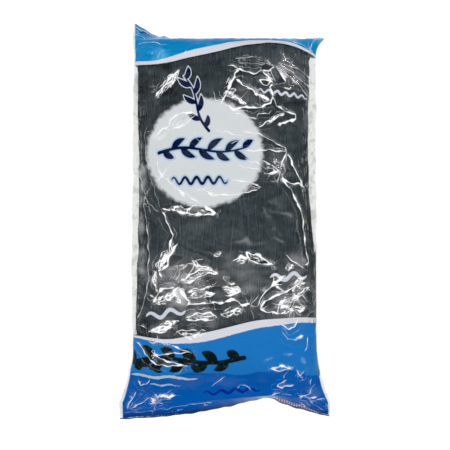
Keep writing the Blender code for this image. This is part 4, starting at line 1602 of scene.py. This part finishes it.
def film_material(look, inks):
    """Clear film: gloss over a trace of haze, over ink where it is printed."""
    material, tree = new_material("printed clear film")
    masks = ink_masks(tree)
    colour = ink_colour(tree, masks, inks)
    cover = product(tree, largest(tree, *(masks[name] for name in COVERING)), INK_COVER)
    blue = largest(tree, *(product(tree, masks[name], share) for name, share in HAZE_HIDDEN.items()))
    height, whiteness, shadow = film_folds(tree, look, blue)
    bump = add_node(tree, "ShaderNodeBump", {"Height": height, "Distance": 1.0, "Strength": 1.0}).outputs[0]

    passing = mix_colours(tree, shadow, CLEAR_TINT, SHADED_TINT)
    clear = add_node(tree, "ShaderNodeBsdfTransparent", {"Color": passing}).outputs[0]
    values = {"Base Color": colour, "Roughness": INK_ROUGHNESS, "Normal": bump}
    ink = add_node(tree, "ShaderNodeBsdfPrincipled", values)
    ink.inputs["Specular IOR Level"].default_value = 0.0
    body = add_node(tree, "ShaderNodeMixShader", {0: cover, 1: clear, 2: ink.outputs[0]}).outputs[0]
    values = {"Base Color": WHITENED_TINT, "Roughness": WHITENED_ROUGHNESS}
    white = add_node(tree, "ShaderNodeBsdfPrincipled", values)
    white.inputs["Specular IOR Level"].default_value = WHITENED_SPECULAR
    body = add_node(tree, "ShaderNodeMixShader", {0: whiteness, 1: body, 2: white.outputs[0]}).outputs[0]
    facing = add_node(tree, "ShaderNodeLayerWeight", {"Blend": 0.5, "Normal": bump}).outputs["Facing"]
    grazing = product(tree, calculate(tree, "POWER", facing, GRAZING_POWER), GRAZING_SHINE)
    gloss = steps_up(tree, attribute(tree, "crumple"), GLOSS_FROM, GLOSS_TO, look.gloss)
    shine = calculate(tree, "ADD", largest(tree, gloss, LEAST_GLOSS * look.gloss), grazing)
    mirror = add_node(tree, "ShaderNodeBsdfPrincipled", {"Base Color": WHITE, "Normal": bump})
    mirror.inputs["Metallic"].default_value = 1.0
    mirror.inputs["Roughness"].default_value = look.roughness
    surface = add_node(tree, "ShaderNodeMixShader", {0: shine, 1: body, 2: mirror.outputs[0]}).outputs[0]
    add_node(tree, "ShaderNodeOutputMaterial", {"Surface": surface})
    return material


SEAWEED_OUTPUTS = {"Color": "NodeSocketColor", "Roughness": "NodeSocketFloat", "Normal": "NodeSocketVector"}
# What makes the seaweed light: a strand's own shade, streaks, blotches and flecks
SHADE_SHARE, STREAK_SHARE, BLOTCH_SHARE, FLECK_SHARE = 0.16, 0.14, 0.3, 0.4
PATCH_DARKNESS = 0.5
SMOOTHEST_STREAK, ROUGHEST_STREAK = 0.45, 0.75
GRAIN_HEIGHT = 0.4 * MM
SEAWEED_SPECULAR = 0.3


def seaweed_group():
    """Dried seaweed's colour, roughness and grain: dark, with lighter strands and streaks along them."""
    name = "Dried seaweed"
    if name in bpy.data.node_groups:
        return bpy.data.node_groups[name]
    tree = bpy.data.node_groups.new(name, "ShaderNodeTree")
    for socket in ("Dark", "Light"):
        tree.interface.new_socket(socket, in_out="INPUT", socket_type="NodeSocketColor")
    for socket in ("Shade", "Light share", "Lightest from", "Lightest to"):
        tree.interface.new_socket(socket, in_out="INPUT", socket_type="NodeSocketFloat")
    for socket, kind in SEAWEED_OUTPUTS.items():
        tree.interface.new_socket(socket, in_out="OUTPUT", socket_type=kind)
    given = tree.nodes.new("NodeGroupInput").outputs
    streak = object_noise(tree, 700.0, 3.0, (1.0, 0.06, 1.0))
    blotch = object_noise(tree, 22.0, 3.0, (1.0, 0.6, 1.0))
    fleck = steps_up(tree, object_noise(tree, 105.0, 4.0, (0.8, 1.0, 1.0)), 0.36, 0.64)
    mixed = product(tree, given["Shade"], SHADE_SHARE)
    for part, weight in ((streak, STREAK_SHARE), (blotch, BLOTCH_SHARE), (fleck, FLECK_SHARE)):
        mixed = calculate(tree, "ADD", mixed, product(tree, part, weight))
    share = steps_up(tree, mixed, given["Lightest from"], given["Lightest to"])
    factor = product(tree, share, given["Light share"])
    colour = mix_colours(tree, factor, given["Dark"], given["Light"])
    patch = product(tree, object_noise(tree, 24.0, 2.0), PATCH_DARKNESS)
    colour = mix_colours(tree, patch, colour, given["Dark"])
    ramp = {"Value": streak, "To Min": SMOOTHEST_STREAK, "To Max": ROUGHEST_STREAK}
    rough = add_node(tree, "ShaderNodeMapRange", ramp).outputs[0]
    grain = {"Height": product(tree, streak, GRAIN_HEIGHT), "Distance": 1.0}
    normal = add_node(tree, "ShaderNodeBump", grain).outputs[0]
    out = tree.nodes.new("NodeGroupOutput")
    for socket, value in (("Color", colour), ("Roughness", rough), ("Normal", normal)):
        tree.links.new(value, out.inputs[socket])
    return tree


def seaweed_material(name, dark, light, light_share, light_range=(0.3, 0.7)):
    """Dried seaweed: near-black, with lighter and browner strands, and a dry, uneven shine."""
    material, tree = new_material(name)
    group = tree.nodes.new("ShaderNodeGroup")
    group.node_tree = seaweed_group()
    group.inputs["Dark"].default_value = (*dark, 1.0)
    group.inputs["Light"].default_value = (*light, 1.0)
    group.inputs["Light share"].default_value = light_share
    group.inputs["Lightest from"].default_value, group.inputs["Lightest to"].default_value = light_range
    tree.links.new(attribute(tree, "shade"), group.inputs["Shade"])
    values = {"Base Color": group.outputs["Color"], "Roughness": group.outputs["Roughness"]}
    finish = add_node(tree, "ShaderNodeBsdfPrincipled", values | {"Normal": group.outputs["Normal"]})
    finish.inputs["Specular IOR Level"].default_value = SEAWEED_SPECULAR
    add_node(tree, "ShaderNodeOutputMaterial", {"Surface": finish.outputs[0]})
    return material


# ---------------------------------------------------------------------------------------------
# The add-on
# ---------------------------------------------------------------------------------------------


def colour_property(name, description, default):
    return bpy.props.FloatVectorProperty(
        name=name, description=description, default=default, subtype="COLOR", size=3, min=0.0, max=1.0
    )


def number_property(name, description, default):
    return bpy.props.FloatProperty(name=name, description=description, default=default)


class FilmSettings(bpy.types.PropertyGroup):
    seed: bpy.props.IntProperty(name="Seed", description="Chooses the random folds", default=4)
    small_creases: bpy.props.IntProperty(name="Small creases", description="How many short folds", default=64)
    crumpling: number_property("Crumpling", "Height of the facets and puckers", 1.0)
    gloss: number_property("Gloss", "Share of light mirrored head-on where the film is crumpled", 0.03)
    roughness: number_property("Roughness", "Of the film's shine", 0.11)
    smudges: number_property("Smudges", "Milky patches of the film", 0.020)
    facets: number_property("Facets", "Greyness of the crumpled facets", 0.10)
    shadows: number_property("Shadows", "Darkness between the folds", 0.95)
    rib_height: number_property("Rib height", "Of the seals, in millimetres", 0.12)
    crease_height: number_property("Crease height", "In millimetres", 0.5)
    crease_whitening: number_property("Crease whitening", "Of a fold", 1.0)
    side_whitening: number_property("Side whitening", "Beside a fold", 0.34)
    streak_height: number_property("Streak height", "In millimetres", 0.7)
    streak_whitening: number_property("Streak whitening", "Of a pucker", 0.95)
    rim_whitening: number_property("Rim whitening", "Of a pucker's edge", 0.75)
    crinkle_height: number_property("Crinkle height", "In millimetres", 0.4)
    fine_wrinkles: number_property("Fine wrinkles", "In millimetres", 0.05)


class PrintSettings(bpy.types.PropertyGroup):
    top: colour_property("Top band", "Blue of the top band", (0.0, 0.205, 0.48))
    top_pale: colour_property("Top band's lights", "Where the top band is scuffed", (0.055, 0.34, 0.59))
    fin_shadow: colour_property("Bottom edge", "Of the blue along the bottom edge", (0.0, 0.018, 0.12))
    sky: colour_property("Upper blue", "Upper part of the bottom band", (0.009, 0.155, 0.46))
    sea: colour_property("Lower blue", "Lower part of the bottom band", (0.0, 0.104, 0.40))
    deep_sea: colour_property("Deep blue", "Mottling of the lower blue", (0.0, 0.070, 0.33))
    edging: colour_property("Edging", "Pale edge of both bands", (0.60, 0.61, 0.66))
    disk: colour_property("Disk", "The pale disk", (0.58, 0.61, 0.62))
    navy: colour_property("Navy", "Sprig and wave on the disk, and the frond", (0.0, 0.006, 0.035))
    halo: colour_property("Halo", "Around the navy print", (0.30, 0.45, 0.68))
    pale: colour_property("Pale marks", "Waves off the disk and the frond's outline", (0.52, 0.55, 0.64))
    foam: colour_property("Foam", "Pale waves in the bottom band", (0.48, 0.54, 0.54))
    kelp: colour_property("Kelp", "Dark fronds in the bottom band", (0.003, 0.007, 0.008))
    kelp_light: colour_property("Kelp's lights", "Lights of the fronds", (0.010, 0.030, 0.018))
    deep: colour_property("Deep mark", "Wave mark in the lower blue", (0.0, 0.02, 0.27))
    seal: colour_property("Seal", "Film of the seal that is folded under", (0.33, 0.30, 0.38))
    rib_shadow: colour_property("Seal's shadows", "Between the seal's ribs", (0.015, 0.02, 0.045))


class SeaweedSettings(bpy.types.PropertyGroup):
    seed: bpy.props.IntProperty(name="Seed", description="Chooses the strands", default=7)
    dark: colour_property("Dark", "Of the mass and the fine strands", (0.029, 0.043, 0.054))
    light: colour_property("Light", "Of the lighter strands", (0.053, 0.077, 0.093))
    brown: colour_property("Brown", "Of the strands at the flanks", (0.38, 0.37, 0.32))


class StageSettings(bpy.types.PropertyGroup):
    strip_radiance: number_property("Strip lights", "Brightness", 45.0)
    side_radiance: number_property("Side panels", "Brightness", 1.6)
    fill_radiance: number_property("Fill light", "Brightness", 1.3)
    world_light: number_property("Room", "Even light from all sides", 0.08)


MASS_LIGHT_SHARE = 0.5
FLANK_LIGHT_RANGE = (0.46, 0.66)
SEED_STEP = 10  # from one kind of strand to the next
# Name: (density in strands a square metre, other values of the strands' tree)
STRAND_KINDS = {
    "fine_strands": (
        8000.0,
        {"Length": 0.045, "Width": 0.0013, "Flatness": 0.5, "Lift": 0.0017, "Wander": 0.008},
    ),
    "broad_strands": (
        4200.0,
        {"Length": 0.060, "Width": 0.0036, "Flatness": 0.25, "Lift": 0.0012, "Wander": 0.010},
    ),
    "flank_strands": (
        16000.0,
        {
            "Length": 0.032,
            "Width": 0.0013,
            "Flatness": 0.5,
            "Lift": 0.0020,
            "Wander": 0.009,
            "Sideways": 0.62,
        },
    ),
}


def put(mesh, material, *, slot=None):
    """The mesh as a piece of the bag, at the origin."""
    if material is not None:
        mesh.materials.clear()
        mesh.materials.append(material)
    piece = bpy.data.objects.new(mesh.name, mesh)
    bpy.context.scene.collection.objects.link(piece)
    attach(piece, "root")
    return piece


class WAKAME_OT_core(bpy.types.Operator):
    """Packs the mass of seaweed into the bag"""

    bl_idname = "wakame.core"
    bl_label = "Seaweed mass"

    def execute(self, context):
        look = context.scene.wakame_seaweed
        material = seaweed_material("seaweed mass", look.dark, look.light, MASS_LIGHT_SHARE)
        put(make_core(look), material, slot="seaweed")
        return {"FINISHED"}


class WAKAME_OT_strands(bpy.types.Operator):
    """Lays the loose strands over the mass of seaweed"""

    bl_idname = "wakame.strands"
    bl_label = "Seaweed strands"

    def execute(self, context):
        look = context.scene.wakame_seaweed
        core_mesh = bpy.data.objects["seaweed_core"].data
        for number, (name, (density, values)) in enumerate(STRAND_KINDS.items()):
            finish = (look.brown, 1.0, FLANK_LIGHT_RANGE) if "Sideways" in values else (look.light, 1.0)
            material = seaweed_material(name.replace("_", " "), look.dark, *finish)
            seed = look.seed + SEED_STEP * number
            given = {"Density": density, "Seed": seed, "Material": material, **values}
            put(make_strands(name, core_mesh, given), None, slot="seaweed")
        return {"FINISHED"}


class WAKAME_OT_film(bpy.types.Operator):
    """Makes the creased, printed film round the seaweed"""

    bl_idname = "wakame.film"
    bl_label = "Printed film"

    def execute(self, context):
        look = context.scene.wakame_film
        material = film_material(look, context.scene.wakame_print)
        piece = put(make_film(look), material, slot="film")
        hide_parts("wakame_bag")
        return {"FINISHED"}


FLOOR_HALF_WIDTH = 8.0
FLOOR_LEVEL = -0.3 * MM
FLOOR_COLOUR = (0.66, 0.66, 0.66, 1.0)
FLOOR_ROUGHNESS = 0.8
FLOOR_GLOW = 0.55
BACKDROP = 0.62  # brightness of the room beyond the floor, as the camera sees it
LIGHT_DISTANCE = 1.3
DIAGONALS = (45, 135, 225, 315)  # headings in degrees: none faces a side of the bag squarely
# Kind of light: (degrees from straight above, size, name of its brightness in the settings)
LIGHT_RINGS = {
    "strip": (44, (0.40, 0.06), "strip_radiance"),
    "side": (68, (0.90, 0.50), "side_radiance"),
}
FILL_SIZE = (1.2, 1.2)


def area_light(name, size, radiance, from_above, heading):
    """A rectangular light that faces the bag, its long side level."""
    light = bpy.data.lights.new(name, "AREA")
    light.shape = "RECTANGLE"
    light.size, light.size_y = size
    light.energy = radiance * math.pi * size[0] * size[1]
    lamp = bpy.data.objects.new(name, light)
    level = math.sin(from_above)
    out = Vector((level * math.cos(heading), level * math.sin(heading), math.cos(from_above)))
    turn = out.to_track_quat("Z", "Y").to_matrix().to_4x4()
    lamp.matrix_world = Matrix.Translation(out * LIGHT_DISTANCE) @ turn
    lamp.visible_camera = False
    bpy.context.scene.collection.objects.link(lamp)
    return lamp


class WAKAME_OT_stage(bpy.types.Operator):
    """Sets up the camera, the lights and the floor"""

    bl_idname = "wakame.stage"
    bl_label = "Stage"

    def execute(self, context):
        look = context.scene.wakame_stage
        camera = bpy.data.cameras.new("camera")
        camera.sensor_width = SENSOR_WIDTH
        camera.lens = FOCAL_PIXELS * SENSOR_WIDTH / PICTURE_SIZE
        viewer = bpy.data.objects.new("camera", camera)
        viewer.location = CAMERA_PLACE
        viewer.rotation_euler = (CAMERA_TILT, 0.0, 0.0)
        context.scene.collection.objects.link(viewer)
        context.scene.camera = viewer

        corner = FLOOR_HALF_WIDTH
        mesh = bpy.data.meshes.new("floor")
        corners = ((-corner, -corner), (corner, -corner), (corner, corner), (-corner, corner))
        mesh.from_pydata([(x, y, FLOOR_LEVEL) for x, y in corners], [], [(0, 1, 2, 3)])
        material, tree = new_material("floor")
        values = {"Base Color": FLOOR_COLOUR, "Roughness": FLOOR_ROUGHNESS}
        base = add_node(tree, "ShaderNodeBsdfPrincipled", values)
        base.inputs["Emission Color"].default_value = WHITE
        base.inputs["Emission Strength"].default_value = FLOOR_GLOW
        add_node(tree, "ShaderNodeOutputMaterial", {"Surface": base.outputs[0]})
        mesh.materials.append(material)
        floor = bpy.data.objects.new("floor", mesh)
        context.scene.collection.objects.link(floor)

        for kind, (from_above, size, setting) in LIGHT_RINGS.items():
            for heading in DIAGONALS:
                place = math.radians(from_above), math.radians(heading)
                area_light(f"{kind}_{heading}", size, getattr(look, setting), *place)
        fill = area_light("fill", FILL_SIZE, look.fill_radiance, 0.0, 0.0)
        fill.visible_glossy = False
        world = bpy.data.worlds.new("room")
        world.use_nodes = True
        tree = world.node_tree
        tree.nodes.clear()
        seen = add_node(tree, "ShaderNodeLightPath").outputs["Is Camera Ray"]
        strength = largest(tree, product(tree, seen, BACKDROP), look.world_light)
        values = {"Color": WHITE, "Strength": strength}
        background = add_node(tree, "ShaderNodeBackground", values)
        add_node(tree, "ShaderNodeOutputWorld", {"Surface": background.outputs[0]})
        context.scene.world = world
        context.scene.view_settings.view_transform = "Standard"
        return {"FINISHED"}


STEPS = (WAKAME_OT_core, WAKAME_OT_strands, WAKAME_OT_film, WAKAME_OT_stage)
SETTINGS = {
    "wakame_film": FilmSettings,
    "wakame_print": PrintSettings,
    "wakame_seaweed": SeaweedSettings,
    "wakame_stage": StageSettings,
}


class WAKAME_PT_panel(bpy.types.Panel):
    """The steps that build the bag, in order"""

    bl_idname = "WAKAME_PT_panel"
    bl_label = "Wakame bag"
    bl_space_type = "VIEW_3D"
    bl_region_type = "UI"
    bl_category = "Wakame bag"

    def draw(self, context):
        for step in STEPS:
            self.layout.operator(step.bl_idname)
        for name, group in SETTINGS.items():
            box = self.layout.box()
            for item in group.__annotations__:
                box.prop(getattr(context.scene, name), item)


def register():
    for group in SETTINGS.values():
        bpy.utils.register_class(group)
    for name, group in SETTINGS.items():
        setattr(bpy.types.Scene, name, bpy.props.PointerProperty(type=group))
    for step in (*STEPS, WAKAME_PT_panel):
        bpy.utils.register_class(step)


def unregister():
    for step in reversed((*STEPS, WAKAME_PT_panel)):
        bpy.utils.unregister_class(step)
    for name in SETTINGS:
        delattr(bpy.types.Scene, name)
    for group in reversed(SETTINGS.values()):
        bpy.utils.unregister_class(group)


def main():
    register()
    bpy.ops.wakame.core()
    bpy.ops.wakame.strands()
    bpy.ops.wakame.film()
    bpy.ops.wakame.stage()


if __name__ == "__main__":
    main()
